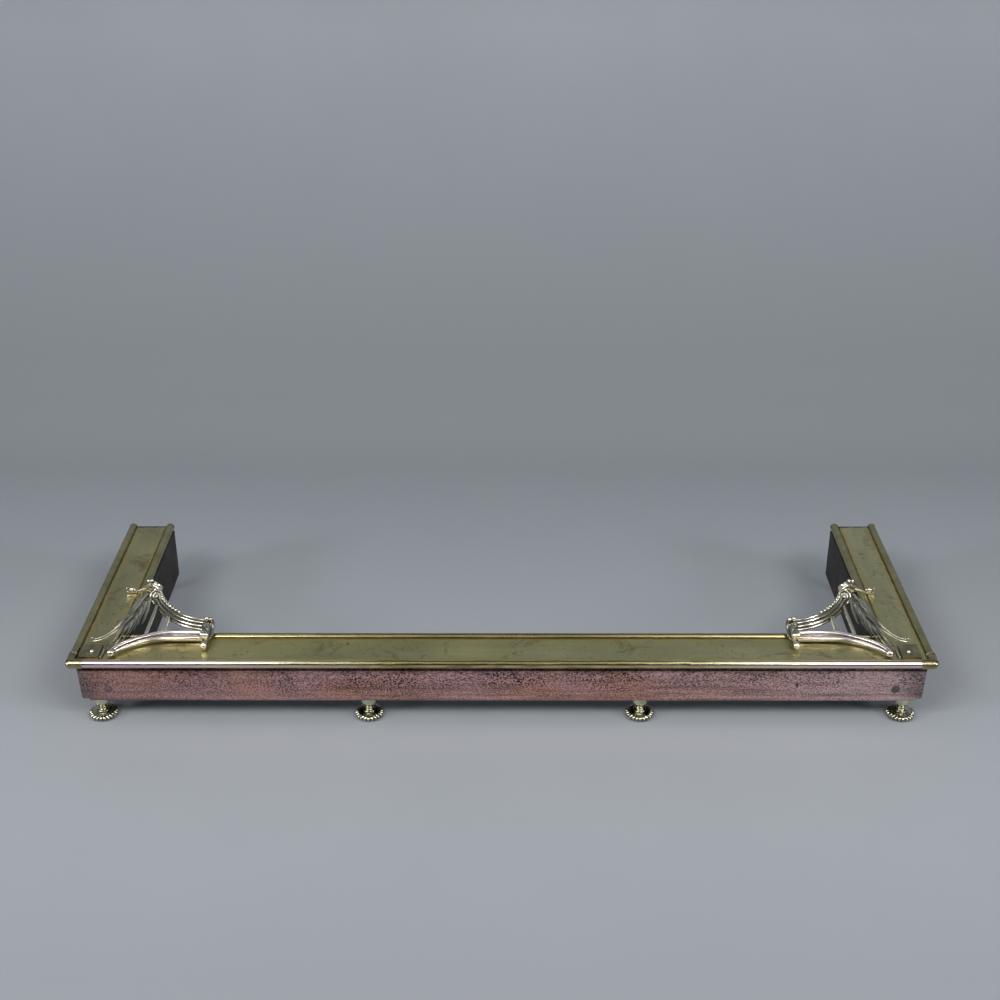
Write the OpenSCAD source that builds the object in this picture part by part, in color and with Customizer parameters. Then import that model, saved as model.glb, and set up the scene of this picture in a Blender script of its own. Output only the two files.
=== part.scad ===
// Three-sided hearth fender: flat brass rails between slotted bead tubes,
// a copper fascia outside, an iron liner inside, gadrooned ball feet below
// and an openwork cast bracket with an acanthus arm on each front corner.
// Millimetres, +Z up, front towards -Y. The origin is on the floor, under the
// middle of the fender's bounding box.

/* [Overall size] */
// Overall width over the rings of the corner caps
fender_w = 1253; // [1000:1:1600]
// Overall depth from the front cap ring to the rear bead tips
fender_d = 422; // [360:1:560]
// Height of the top plates' upper face above the floor
top_h = 111; // [104:1:130]

/* [Rails] */
// Width of the front rail over both of its bead tubes
front_rail_w = 83; // [79:1:100]
// Width of each side rail over both of its bead tubes
side_rail_w = 74; // [70:1:90]
// Thickness of the top plates
plate_t = 2; // [1.4:0.2:2.4]
// Outside diameter of the bead tubes
bead_d = 12; // [11:0.5:13]
// Wall of the bead tubes
bead_wall = 1.2; // [0.8:0.1:1.5]
// Depth that a plate's edge enters its slotted bead tube
plate_bite = 3.5; // [2.5:0.25:4.5]
// Drop of a bead's centre below the plates' upper face
bead_drop = 1.5; // [1:0.1:2]
// Gap above a plate in the slot of its bead tube
slot_gap = 0.2; // [0.1:0.05:0.4]

/* [Corner caps and bead tips] */
// Radius that a corner cap adds round its bead
cap_wall = 1; // [0.8:0.1:1.3]
// Radius that a cap's end ring adds round its bead
ring_proud = 1.5; // [1.4:0.1:1.8]
// Width of a cap's end ring
ring_w = 3; // [2:0.5:4]
// Reach of a corner cap along the front bead
cap_front_reach = 24; // [20:1:30]
// Reach of a corner cap along a side bead
cap_side_reach = 28; // [22:1:34]
// Distance of a bead's end from the fender's outer corner, inside the cap
socket_from = 12; // [11:0.5:14]
// Radial clearance of a bead in its cap
socket_gap = 0.1; // [0.05:0.05:0.2]
// Length of the domed tip on each rear bead end
tip_len = 4; // [3:0.5:6]
// Radius that a rear tip adds round its bead
tip_proud = 0.5; // [0.2:0.1:0.8]

/* [Copper fascia] */
// Height of the fascia's rolled lower edge above the floor
fascia_low_z = 41; // [38:0.5:44]
// Height of the folded shoulder below the plates' upper face
shoulder_drop = 17; // [14:0.5:22]
// Inset of the fascia's foot behind the bead's outer face
foot_inset = 12.5; // [12:0.25:14]
// Distance by which the shoulder stands further out than the foot
fascia_lean = 1.7; // [0:0.1:3]
// Inset of the fascia's upright neck behind the bead's outer face
neck_inset = 14; // [13.8:0.1:14.6]
// Thickness of the copper sheet
sheet_t = 1.2; // [0.8:0.1:1.4]
// Radius of the rolled lower edge
hem_r = 1.8; // [1.2:0.1:2]
// Width of the flange folded in under the plates
flange_w = 14; // [8:1:20]
// Rise of the neck's foot over the folded shoulder
shoulder_rise = 1.2; // [0.8:0.1:2]

/* [Corner wraps] */
// Inset of the corner wraps' bend centre behind the bead's outer face
bend_inset = 17.5; // [17:0.25:20]
// Reach of a corner wrap from the fender's outer corner
wrap_reach = 25; // [22:1:30]
// Height of a wrap's lower edge above the fascia's lower edge
wrap_rise = 3; // [1:0.5:5]

/* [Iron liner] */
// Height of the liner's lower edge above the floor
liner_low_z = 20; // [14:1:28]
// Thickness of the liner
liner_t = 1.2; // [0.8:0.1:1.5]
// Gap between a bead and the liner's shelf below it
shelf_gap = 0.3; // [0.2:0.1:0.6]
// Gap between a bead and the liner's riser behind it
riser_gap = 0.8; // [0.5:0.1:1.5]
// Width of the liner's flange under the plates
liner_flange_w = 11; // [8:1:16]

/* [Feet] */
// Height of each foot, from the floor to its strap
foot_h = 45; // [44:0.5:47]
// Radius of a foot's gadrooned bun over its lobes
bun_r = 21.5; // [19:0.5:23]
// Height of the gadrooned bun
bun_h = 12.5; // [11:0.5:14]
// Number of lobes round a bun
lobe_count = 22; // [16:1:24]
// Depth of the valleys between the lobes
lobe_depth = 2.2; // [1:0.2:2.8]
// Radius of the flared collar at the top of a foot
collar_r = 12; // [10.5:0.5:13]
// Radius of a foot's neck
neck_r = 4.8; // [4.2:0.2:6]
// Distance of a foot's axis from the outer faces of the beads
foot_inset_xy = 35; // [33:1:37]
// Distance of the two middle feet from the fender's centre line
mid_foot_x = 200; // [120:5:300]
// Shift of both middle feet to the right, which were drilled by eye
mid_foot_shift = 4; // [0:0.5:6]
// Radius of the stud on top of each foot
stud_r = 3; // [2.5:0.25:3.5]
// Radial clearance of a stud in its strap and nut
stud_gap = 0.1; // [0.05:0.05:0.3]
// Width of a foot nut across its flats
nut_af = 11; // [9:0.5:13]
// Thickness of a foot nut
nut_h = 5; // [4:0.5:6]

/* [Straps and rivets] */
// Thickness of the foot straps and corner brackets
strap_t = 3; // [2:0.5:4]
// Width of a foot strap
strap_w = 26; // [26:1:34]
// Height of the strap tabs above the feet
tab_h = 28; // [26:1:36]
// Distance of a corner rivet from the fender's outer corner
rivet_from_corner = 54; // [50:1:58]
// Height of a corner rivet above the floor
rivet_z = 62; // [60:0.5:64]
// Radius of a fascia rivet's head
rivet_head_r = 6.3; // [5:0.1:7]
// Rise of a fascia rivet's head
rivet_head_h = 1; // [0.6:0.1:1.5]
// Radius of a rivet's shank
rivet_r = 2.5; // [2:0.1:3]
// Radial clearance of a rivet in its holes
rivet_gap = 0.1; // [0.05:0.05:0.3]
// Projection of a rivet's shank past the tab that it holds
rivet_tail = 2; // [1:0.5:3]

/* [Corner castings] */
// Thickness of the riveted corner plate of a casting
pad_t = 4; // [3:0.5:5]
// Side of a corner plate along the front rail
pad_w = 28; // [24:1:30]
// Side of a corner plate along the side rail
pad_d = 34; // [30:1:36]
// Gap between the beads and a corner plate
pad_gap = 4; // [3:0.5:6]
// Radius of the smooth arm's bend
arm_bend_r = 80; // [70:1:84]
// Angle of the smooth arm's bend
arm_bend_a = 60; // [56:1:62]
// Radius of the smooth arm's upper reed
arm_reed_r = 4.3; // [3.5:0.1:4.6]
// Height of the upper reed's centre above the plates
arm_reed_h = 10.2; // [10:0.1:12]
// Radius of the smooth arm's lower reed
arm_lip_r = 2.4; // [1.8:0.1:2.6]
// Angle at which the lower reed runs out
arm_lip_a = 46; // [40:1:50]
// Radius of the curled foot at the smooth arm's end
curl_r = 6; // [5:0.25:6.5]
// Height of the curled foot
curl_h = 8; // [6.5:0.5:9]
// Outer radius of the fluted arch
arch_r = 127.5; // [118:0.5:136]
// Distance of the arch's middle line from the side rail, at its rear end
arch_side_out = 20.4; // [19:0.2:22]
// Distance of the arch's middle line from the front rail, at its front end
arch_front_out = 4.6; // [4:0.2:5.4]
// Height of the arch's lower reed above the plates
arch_low_h = 7; // [6.8:0.1:8]
// Rise of the arch from its lower reed to its crest
arch_rise = 10; // [7:0.5:12]
// Width of the arch's section in plan
arch_band_w = 10; // [8:0.5:12]
// Distance of the first rib from the side rail
first_rib_out = 29; // [26:1:32]
// Distance of the second rib from the side rail
second_rib_out = 53; // [50:1:56]
// Width of the two ribs between the arch and the smooth arm
rib_w = 4; // [3:0.25:5]
// Thickness of the two ribs
rib_t = 3.5; // [2.5:0.25:4]
// Radius of the scroll that ends the arch over the side rail
volute_r = 10; // [8:0.5:11]
// Radius of the small ball in each scrolled foot
ball_r = 3.8; // [3:0.1:4.2]
// Thickness of the strip that curls round each ball
curl_strip_r = 1.8; // [1.2:0.1:2.2]
// Radius of the twin knobs over the liner
knob_r = 4.5; // [3.5:0.1:5]
// Radius of the leaf arm's stem at its root
stem_root_r = 3.2; // [2.6:0.1:3.6]
// Radius of the leaf arm's stem at its foot
stem_foot_r = 2.2; // [1.8:0.1:2.6]
// Width of the widest leaf blades
blade_w = 9; // [7:0.5:10]
// Gap between two cast pieces that meet
cast_gap = 0.3; // [0.2:0.05:0.4]
// Extra inset of the right-hand casting from its corner
right_cast_shift = 5; // [0:1:7]

/* [Hidden] */
$fn = 48;

brass = "#b9a45a";
old_brass = "#77735a";
copper = "#8c6a61";
iron = "#2b2a28";

bead_r = bead_d / 2;
// Outer faces of the beads: the fender's own corner, from which insets count
left_x = -fender_w / 2 + ring_proud;
front_y = -fender_d / 2 + ring_proud;
rear_y = fender_d / 2;
bead_end_y = rear_y - tip_len;
span_x = -2 * left_x;
side_len = bead_end_y - front_y;

plate_low = top_h - plate_t;
bead_z = top_h - bead_drop;
plate_edge = bead_d - plate_bite;
liner_mitre = [side_rail_w, front_rail_w];

shoulder_z = top_h - shoulder_drop;
hem_z = fascia_low_z + hem_r;
shoulder_inset = foot_inset - fascia_lean;
lean_slope = fascia_lean / (shoulder_z - hem_z);
shelf_z = bead_z - bead_r - shelf_gap;
riser_inset = bead_d + riser_gap;
sheet_end_y = bead_end_y - sheet_t;

// Inset of the fascia's inner face at a height
function sheet_inner(z) = foot_inset + sheet_t - lean_slope * (z - hem_z);
// Inset of the fascia's outer face at a height
function sheet_outer(z) = foot_inset - lean_slope * (z - hem_z);

// ---- frames: insets are measured inwards from the beads' outer faces ----

// Extrudes a profile (inset, height) along the front, between two insets
module along_front(from_u, to_u)
    translate([left_x + from_u, front_y, 0])
        rotate([90, 0, 90])
            linear_extrude(to_u - from_u)
                children();

// Extrudes a profile (inset, height) along the left side, between two insets
module along_left(from_v, to_v)
    translate([left_x, front_y + to_v, 0])
        rotate([90, 0, 0])
            linear_extrude(to_v - from_v)
                children();

// Puts a piece drawn in (inset from the side, inset from the front, height
// over the plates) on the left front corner
module on_left_corner() translate([left_x, front_y, top_h]) children();

module mirrored() mirror([1, 0, 0]) children();

// The same on the right front corner, where the casting sits further inwards
module on_right_corner() mirrored() translate([right_cast_shift, 0, 0]) on_left_corner() children();

// ---- top plates ----

module front_top_plate() color(old_brass)
    difference() {
        translate([0, front_y, plate_low])
            linear_extrude(plate_t)
                polygon([
                    [left_x + plate_edge, plate_edge],
                    [-left_x - plate_edge, plate_edge],
                    [-left_x - side_rail_w + plate_edge, front_rail_w - plate_edge],
                    [left_x + side_rail_w - plate_edge, front_rail_w - plate_edge]
                ]);
        on_left_corner() pad_rivet(rivet_gap);
        on_right_corner() pad_rivet(rivet_gap);
    }

module left_top_plate() color(old_brass)
    translate([left_x, front_y, plate_low])
        linear_extrude(plate_t)
            polygon([
                [plate_edge, plate_edge],
                [side_rail_w - plate_edge, front_rail_w - plate_edge],
                [side_rail_w - plate_edge, side_len],
                [plate_edge, side_len]
            ]);

module right_top_plate() mirrored() left_top_plate();

// ---- bead tubes ----

// Tube section with its centre at an inset; the slot faces +1 inwards, -1 outwards
module bead_section(inset, faces)
    translate([inset, bead_z])
        difference() {
            circle(bead_r);
            circle(bead_r - bead_wall);
            translate([faces > 0 ? 0 : -bead_d, bead_drop - plate_t])
                square([bead_d, plate_t + slot_gap]);
        }

module front_outer_bead() color(brass)
    along_front(socket_from, span_x - socket_from)
        bead_section(bead_r, 1);

module left_outer_bead() color(old_brass)
    along_left(socket_from, side_len)
        bead_section(bead_r, 1);

module right_outer_bead() mirrored() left_outer_bead();

// Region of the front run inside the mitres of the inner corners
module front_mitre_region(out, in)
    translate([0, front_y, 0])
        linear_extrude(top_h * 2)
            polygon([
                [left_x + liner_mitre[0] - out, liner_mitre[1] - out],
                [-left_x - liner_mitre[0] + out, liner_mitre[1] - out],
                [-left_x - liner_mitre[0] - in, liner_mitre[1] + in],
                [left_x + liner_mitre[0] + in, liner_mitre[1] + in]
            ]);

// Region of the left run behind the mitre of its inner corner
module left_mitre_region(out, in)
    translate([left_x, front_y, 0])
        linear_extrude(top_h * 2)
            polygon([
                [liner_mitre[0] - out, liner_mitre[1] - out],
                [liner_mitre[0] + in, liner_mitre[1] + in],
                [liner_mitre[0] + in, side_len + in],
                [liner_mitre[0] - out, side_len + in]
            ]);

module front_inner_bead() color(old_brass)
    intersection() {
        along_front(side_rail_w - bead_d, span_x - side_rail_w + bead_d)
            bead_section(front_rail_w - bead_r, -1);
        front_mitre_region(bead_d + ring_proud, ring_proud);
    }

module left_inner_bead() color(old_brass)
    intersection() {
        along_left(front_rail_w - bead_d, side_len)
            bead_section(side_rail_w - bead_r, -1);
        left_mitre_region(bead_d + ring_proud, ring_proud);
    }

module right_inner_bead() mirrored() left_inner_bead();

// ---- corner caps and rear bead tips ----

cap_nose = 1.2;
cap_nose_len = 3;
ring_slope = 0.8;

// One arm of a corner cap round the line of a bead, ending in a ring
module cap_arm(from, reach)
    rotate_extrude()
        polygon([
            [0, from],
            [bead_r + cap_wall - cap_nose, from],
            [bead_r + cap_wall, from + cap_nose_len],
            [bead_r + cap_wall, reach - ring_w],
            [bead_r + ring_proud, reach - ring_w + ring_slope],
            [bead_r + ring_proud, reach - ring_slope],
            [bead_r + cap_wall, reach],
            [0, reach]
        ]);

module left_corner_cap() color(old_brass)
    on_left_corner()
        difference() {
            union() {
                translate([0, bead_r, -bead_drop])
                    rotate([0, 90, 0])
                        cap_arm(cap_front_start, cap_front_reach);
                translate([bead_r, 0, -bead_drop])
                    rotate([-90, 0, 0])
                        cap_arm(cap_side_start, cap_side_reach);
            }
            translate([socket_from, bead_r, -bead_drop])
                rotate([0, 90, 0])
                    cylinder(h = cap_front_reach, r = bead_r + socket_gap);
            translate([bead_r, socket_from, -bead_drop])
                rotate([-90, 0, 0])
                    cylinder(h = cap_side_reach, r = bead_r + socket_gap);
            translate([plate_edge - slot_gap, plate_edge - slot_gap, -plate_t])
                cube([cap_front_reach, cap_side_reach, plate_t + slot_gap]);
        }

module right_corner_cap() mirrored() left_corner_cap();

cap_front_start = 2.5;
cap_side_start = bead_r - 2;

// Domed disc that closes the rear end of a bead tube
module bead_tip(inset)
    translate([left_x + inset, bead_end_y, bead_z])
        rotate([-90, 0, 0])
            intersection() {
                cylinder(h = tip_len, r = bead_r + tip_proud);
                translate([0, 0, tip_len - dome_r])
                    sphere(dome_r);
            }

dome_r = bead_r + tip_proud + 3;

module left_bead_tips() color(old_brass) {
    bead_tip(bead_r);
    bead_tip(side_rail_w - bead_r);
}

module right_bead_tips() mirrored() left_bead_tips();

// ---- copper fascia ----

// Folded sheet: rolled lower edge, leaning face, shoulder and upright neck
module sheet_section(rise) {
    polygon([
        [sheet_outer(hem_z + rise), hem_z + rise],
        [shoulder_inset, shoulder_z],
        [neck_inset, shoulder_z + shoulder_rise],
        [neck_inset, plate_low],
        [neck_inset + sheet_t, plate_low],
        [neck_inset + sheet_t, shoulder_z + shoulder_rise - sheet_t],
        [shoulder_inset + sheet_t, shoulder_z - sheet_t],
        [sheet_inner(hem_z + rise), hem_z + rise]
    ]);
    translate([sheet_outer(hem_z + rise) + hem_r, hem_z + rise])
        circle(hem_r);
}

module fascia_section() {
    sheet_section(0);
    translate([neck_inset, plate_low - sheet_t])
        square([flange_w, sheet_t]);
}

module front_fascia() color(copper)
    difference() {
        along_front(wrap_reach, span_x - wrap_reach)
            fascia_section();
        front_rivet(rivet_gap);
        mirrored() front_rivet(rivet_gap);
    }

module left_fascia() color(copper)
    difference() {
        along_left(wrap_reach, sheet_end_y - front_y)
            fascia_section();
        side_rivet(rivet_gap);
    }

module right_fascia() mirrored() left_fascia();

module left_corner_wrap() color(copper) {
    along_front(bend_inset, wrap_reach)
        sheet_section(wrap_rise);
    along_left(bend_inset, wrap_reach)
        sheet_section(wrap_rise);
    translate([left_x + bend_inset, front_y + bend_inset, 0])
        rotate([0, 0, 180])
            rotate_extrude(angle = 90)
                mirror([1, 0])
                    translate([-bend_inset, 0])
                        sheet_section(wrap_rise);
}

module right_corner_wrap() mirrored() left_corner_wrap();

// ---- iron liner ----

// Web, shelf below the inner bead, riser behind it and flange under the plate
module liner_section(rail_w)
    polygon([
        [rail_w, liner_low_z],
        [rail_w, shelf_z],
        [rail_w - riser_inset, shelf_z],
        [rail_w - riser_inset, plate_low],
        [rail_w - riser_inset - liner_t - liner_flange_w, plate_low],
        [rail_w - riser_inset - liner_t - liner_flange_w, plate_low - liner_t],
        [rail_w - riser_inset - liner_t, plate_low - liner_t],
        [rail_w - riser_inset - liner_t, shelf_z - liner_t],
        [rail_w - liner_t, shelf_z - liner_t],
        [rail_w - liner_t, liner_low_z]
    ]);

liner_depth = riser_inset + liner_t + liner_flange_w;

module front_liner() color(iron)
    intersection() {
        along_front(side_rail_w - liner_depth, span_x - side_rail_w + liner_depth)
            liner_section(front_rail_w);
        front_mitre_region(liner_depth + 1, 1);
    }

module left_liner() color(iron)
    intersection() {
        along_left(front_rail_w - liner_depth, sheet_end_y - front_y)
            liner_section(side_rail_w);
        left_mitre_region(liner_depth + 1, 1);
    }

module right_liner() mirrored() left_liner();

// Plate that closes the rear end of a leg, notched below the inner bead
module left_end_plate() color(iron)
    along_left(sheet_end_y - front_y, side_len)
        polygon([
            [sheet_outer(hem_z), fascia_low_z],
            [side_rail_w, fascia_low_z],
            [side_rail_w, shelf_z],
            [side_rail_w - riser_inset, shelf_z],
            [side_rail_w - riser_inset, plate_low],
            [neck_inset, plate_low],
            [neck_inset, shoulder_z + shoulder_rise],
            [shoulder_inset, shoulder_z]
        ]);

module right_end_plate() mirrored() left_end_plate();

// ---- straps and corner brackets that carry the feet ----

tab_top = foot_h + tab_h;

// U-shaped strap between the fascia and the liner of a rail
module strap_section(rail_w)
    polygon([
        [sheet_inner(foot_h), foot_h],
        [sheet_inner(tab_top), tab_top],
        [sheet_inner(tab_top) + strap_t, tab_top],
        [sheet_inner(foot_h + strap_t) + strap_t, foot_h + strap_t],
        [rail_w - liner_t - strap_t, foot_h + strap_t],
        [rail_w - liner_t - strap_t, tab_top],
        [rail_w - liner_t, tab_top],
        [rail_w - liner_t, foot_h]
    ]);

left_mid_x = mid_foot_x - mid_foot_shift;
right_mid_x = mid_foot_x + mid_foot_shift;

// Strap on the left half of the front rail, at a distance from the centre line
module mid_strap(distance) color(iron)
    difference() {
        along_front(-left_x - distance - strap_w / 2, -left_x - distance + strap_w / 2)
            strap_section(front_rail_w);
        stud(-distance, front_foot_y, stud_gap);
    }

module left_mid_strap() mid_strap(left_mid_x);
module right_mid_strap() mirrored() mid_strap(right_mid_x);

module left_rear_strap() color(iron)
    difference() {
        along_left(rear_foot_v - strap_w / 2, rear_foot_v + strap_w / 2)
            strap_section(side_rail_w);
        stud(side_foot_x, rear_foot_y, stud_gap);
    }

module right_rear_strap() mirrored() left_rear_strap();

bracket_from = wrap_reach + 1;
bracket_to = rivet_from_corner + rivet_head_r + 1;

// Tab of a corner bracket, sheared to lie against the leaning fascia
module tab_section()
    polygon([
        [sheet_inner(foot_h), foot_h],
        [sheet_inner(tab_top), tab_top],
        [sheet_inner(tab_top) + strap_t, tab_top],
        [sheet_inner(foot_h) + strap_t, foot_h]
    ]);

module left_corner_bracket() color(iron)
    difference() {
        union() {
            along_front(bracket_from, bracket_to) tab_section();
            along_left(bracket_from, bracket_to) tab_section();
            translate([left_x, front_y, foot_h])
                linear_extrude(strap_t)
                    polygon([
                        [bracket_from, sheet_inner(foot_h) + strap_t / 2],
                        [bracket_to, sheet_inner(foot_h) + strap_t / 2],
                        [bracket_to, bracket_from],
                        [bracket_from, bracket_to],
                        [sheet_inner(foot_h) + strap_t / 2, bracket_to],
                        [sheet_inner(foot_h) + strap_t / 2, bracket_from],
                        [bracket_from, bracket_from]
                    ]);
        }
        stud(side_foot_x, front_foot_y, stud_gap);
        front_rivet(rivet_gap);
        side_rivet(rivet_gap);
    }

module right_corner_bracket() mirrored() left_corner_bracket();

// ---- feet ----

front_foot_y = front_y + foot_inset_xy;
side_foot_x = left_x + foot_inset_xy;
rear_foot_y = bead_end_y - foot_inset_xy;
rear_foot_v = rear_foot_y - front_y;
stud_top = foot_h + strap_t + nut_h + 3;

// Stud on top of a foot, or the hole for it when a gap is given
module stud(x, y, gap)
    translate([x, y, foot_h - gap])
        cylinder(h = stud_top - foot_h + gap * 2, r = stud_r + gap);

// Height, radius and lobe share of the rings of a gadrooned bun
bun_rings = [
    [0, 0.66, 0],
    [0.04, 0.76, 0.5],
    [0.15, 0.88, 0.9],
    [0.33, 0.97, 1],
    [0.56, 1.00, 1],
    [0.75, 0.95, 1],
    [0.88, 0.82, 0.95],
    [0.96, 0.62, 0.7],
    [1, 0.43, 0]
];
lobe_steps = 4;

// Radius of a bun ring at an angle: round lobes that meet in sharp valleys
function bun_radius(ring, angle) =
    ring[1] * bun_r - ring[2] * lobe_depth * (1 - abs(sin(angle * lobe_count / 2)));

module gadrooned_bun() {
    sides = lobe_count * lobe_steps;
    rings = len(bun_rings);
    points = [
        for (ring = bun_rings, k = [0:sides - 1])
            let (angle = 360 * k / sides, r = bun_radius(ring, angle))
                [r * cos(angle), r * sin(angle), ring[0] * bun_h]
    ];
    skin = [
        for (j = [0:rings - 2], k = [0:sides - 1])
            let (a = j * sides + k, b = j * sides + (k + 1) % sides)
                each [[a, a + sides, b], [b, a + sides, b + sides]]
    ];
    floor_face = [for (k = [0:sides - 1]) k];
    roof_face = [for (k = [0:sides - 1]) rings * sides - 1 - k];
    polyhedron(points, concat([floor_face], skin, [roof_face]));
}

stem_base_r = bun_rings[len(bun_rings) - 1][1] * bun_r - 0.4;
stem_core_r = neck_r + 0.6;
stem_bead_r = 1.5;
stem_bead_z = bun_h + 2.6;
neck_from_z = bun_h + 5;
neck_to_z = bun_h + 9.5;
collar_edge = 10.5;
flare_steps = 8;

// Point of the flare at a share of its height: hollow over the neck, full under the collar
function flare_point(t) =
    [
        neck_r + (collar_r - neck_r) * (t + (1 - cos(180 * t)) / 2) / 2,
        neck_to_z + (foot_h - collar_edge - neck_to_z) * t
    ];

// Turned stem above the bun: bead ring, neck and flared collar
module foot_stem() {
    rotate_extrude()
        polygon([
            [0, bun_h],
            [stem_base_r, bun_h],
            [stem_core_r, stem_bead_z - stem_bead_r * 0.7],
            [stem_core_r, stem_bead_z + stem_bead_r * 0.7],
            [neck_r, neck_from_z],
            for (step = [0:flare_steps]) flare_point(step / flare_steps),
            [collar_r, foot_h],
            [0, foot_h]
        ]);
    translate([0, 0, stem_bead_z])
        rotate_extrude()
            translate([stem_core_r, 0])
                circle(stem_bead_r);
}

module foot_at(x, y) color(brass) {
    translate([x, y, 0]) {
        gadrooned_bun();
        foot_stem();
    }
    stud(x, y, 0);
}

module left_front_foot() foot_at(side_foot_x, front_foot_y);
module left_mid_foot() foot_at(-left_mid_x, front_foot_y);
module left_rear_foot() foot_at(side_foot_x, rear_foot_y);
module right_front_foot() mirrored() left_front_foot();
module right_mid_foot() mirrored() foot_at(-right_mid_x, front_foot_y);
module right_rear_foot() mirrored() left_rear_foot();

module nut_at(x, y)
    translate([x, y, foot_h + strap_t])
        difference() {
            cylinder(h = nut_h, r = nut_af / 2 / cos(30), $fn = 6);
            translate([0, 0, -1])
                cylinder(h = nut_h + 2, r = stud_r + stud_gap);
        }

module half_nuts(mid_x) {
    nut_at(side_foot_x, front_foot_y);
    nut_at(-mid_x, front_foot_y);
    nut_at(side_foot_x, rear_foot_y);
}

module foot_nuts() color(iron) {
    half_nuts(left_mid_x);
    mirrored() half_nuts(right_mid_x);
}

// ---- rivets of the fascia ----

lean_angle = atan(lean_slope);
rivet_len = sheet_t + strap_t + rivet_tail;
head_sphere_r = (rivet_head_r * rivet_head_r + rivet_head_h * rivet_head_h) / (2 * rivet_head_h);

// Rivet along +Z, with the underside of its low domed head at the origin
module rivet(gap) {
    translate([0, 0, -gap])
        cylinder(h = rivet_len + gap * 2, r = rivet_r + gap);
    if (gap == 0)
        intersection() {
            translate([0, 0, -rivet_head_h])
                cylinder(h = rivet_head_h, r = rivet_head_r);
            translate([0, 0, head_sphere_r - rivet_head_h])
                sphere(head_sphere_r, $fn = 96);
        }
}

module front_rivet(gap)
    translate([left_x + rivet_from_corner, front_y + sheet_outer(rivet_z), rivet_z])
        rotate([-90 + lean_angle, 0, 0])
            rivet(gap);

module side_rivet(gap)
    translate([left_x + sheet_outer(rivet_z), front_y + rivet_from_corner, rivet_z])
        rotate([0, 90 - lean_angle, 0])
            rivet(gap);

module left_fascia_rivets() color(iron) {
    front_rivet(0);
    side_rivet(0);
}

module right_fascia_rivets() mirrored() left_fascia_rivets();

// ---- corner castings: insets from the side and the front, height over the plates ----

pad_from = bead_d + pad_gap;
pad_rivet_u = pad_from + pad_w * 0.6;
pad_rivet_v = pad_from + pad_d * 0.4;
pad_rivet_r = 2;

module pad_rivet(gap) {
    translate([pad_rivet_u, pad_rivet_v, -plate_t - gap])
        cylinder(h = plate_t + pad_t + gap * 2, r = pad_rivet_r + gap);
    if (gap == 0)
        translate([pad_rivet_u, pad_rivet_v, pad_t])
            intersection() {
                sphere(pad_rivet_r * 1.6);
                cylinder(h = pad_rivet_r * 2, r = pad_rivet_r * 2);
            }
}

module corner_pad() color(old_brass)
    difference() {
        translate([pad_from, pad_from, 0])
            linear_extrude(pad_t)
                square([pad_w, pad_d]);
        pad_rivet(rivet_gap);
    }

module left_corner_pad() on_left_corner() corner_pad();
module right_corner_pad() on_right_corner() corner_pad();

module pad_rivets() color(brass) {
    on_left_corner() pad_rivet(0);
    on_right_corner() pad_rivet(0);
}

// Where the arch's middle line runs in plan, and where its two ends stand
arch_from_a = 187;
arch_to_a = 257;
arch_mid_r = arch_r - arch_band_w * 0.6;
arch_u = side_rail_w + arch_side_out - arch_mid_r * cos(arch_from_a);
arch_v = front_rail_w + arch_front_out - arch_mid_r * sin(arch_to_a);
crest_r = arch_r - arch_band_w;
crest_h = arch_low_h + arch_rise;
front_husk_run = 4.3;
side_husk_run = 5.8;
front_end_u = arch_u + arch_mid_r * cos(arch_to_a) + front_husk_run;
side_end_v = arch_v + arch_mid_r * sin(arch_from_a) + side_husk_run;

// Smooth arm: two reeds and a web, straight over the front rail and then bent
// towards the corner
arm_v = front_rail_w - 19;
arm_end_u = front_end_u - 8;
bend_u = arm_end_u - 39;
lip_offset = 4.9;
web_t = 1.8;
lip_h = arm_lip_r + 5.2;
bend_v = arm_v - arm_bend_r;
arm_tip_u = bend_u - arm_bend_r * sin(arm_bend_a);
arm_tip_v = bend_v + arm_bend_r * cos(arm_bend_a);
curl_u = arm_tip_u - curl_r * cos(arm_bend_a);
curl_v = arm_tip_v - curl_r * sin(arm_bend_a) + 0.8;

// Reeds of the smooth arm: distance from its line, height over the plates
module upper_reed()
    translate([0, arm_reed_h])
        circle(arm_reed_r);

module lower_reed() {
    translate([-lip_offset, lip_h])
        circle(arm_lip_r);
    translate([-lip_offset, lip_h - web_t])
        square([lip_offset, web_t]);
}

// Bends the section of a reed round to an angle
module arm_bend(to_a)
    translate([bend_u, bend_v, 0])
        rotate([0, 0, 90])
            rotate_extrude(angle = to_a)
                translate([arm_bend_r, 0])
                    children();

module smooth_arm() color(brass) {
    translate([bend_u, arm_v, 0])
        rotate([90, 0, 90])
            linear_extrude(arm_end_u - bend_u) {
                upper_reed();
                lower_reed();
            }
    arm_bend(arm_bend_a) upper_reed();
    arm_bend(arm_lip_a) lower_reed();
    translate([curl_u, curl_v, 0])
        cylinder(h = curl_h, r = curl_r);
    translate([curl_u, curl_v, curl_h])
        sphere(curl_r * 0.7);
}

module left_smooth_arm() on_left_corner() smooth_arm();
module right_smooth_arm() on_right_corner() smooth_arm();

// Fluted arch from the side rail to the front rail, with its scrolled ends
ferrule_r = 7.6;
ferrule_len = 6.5;
husk_r = 8;
front_husk_turn = 40;
side_husk_turn = 130;
scroll_seat = 0.2;
rim_r = ball_r + curl_strip_r + 1.4;
rim_t = curl_strip_r * 2.2;
volute_a = 195;
low_reed_r = 2.2;
band_reed_r = 4.2;
crest_reed_r = 2.4;
crest_leaf_r = 2.6;
arch_sweep = arch_to_a - arch_from_a;
front_ball_in = 41;
front_husk_in = 8;
front_husk_h = 13;
front_knob_out = 5;
front_knob_h = 22;
side_ball_in = 22;
side_husk_out = 9;
side_husk_h = 11;
side_knob_out = 8;
side_knob_h = 20;
rib_root = 20;

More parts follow.
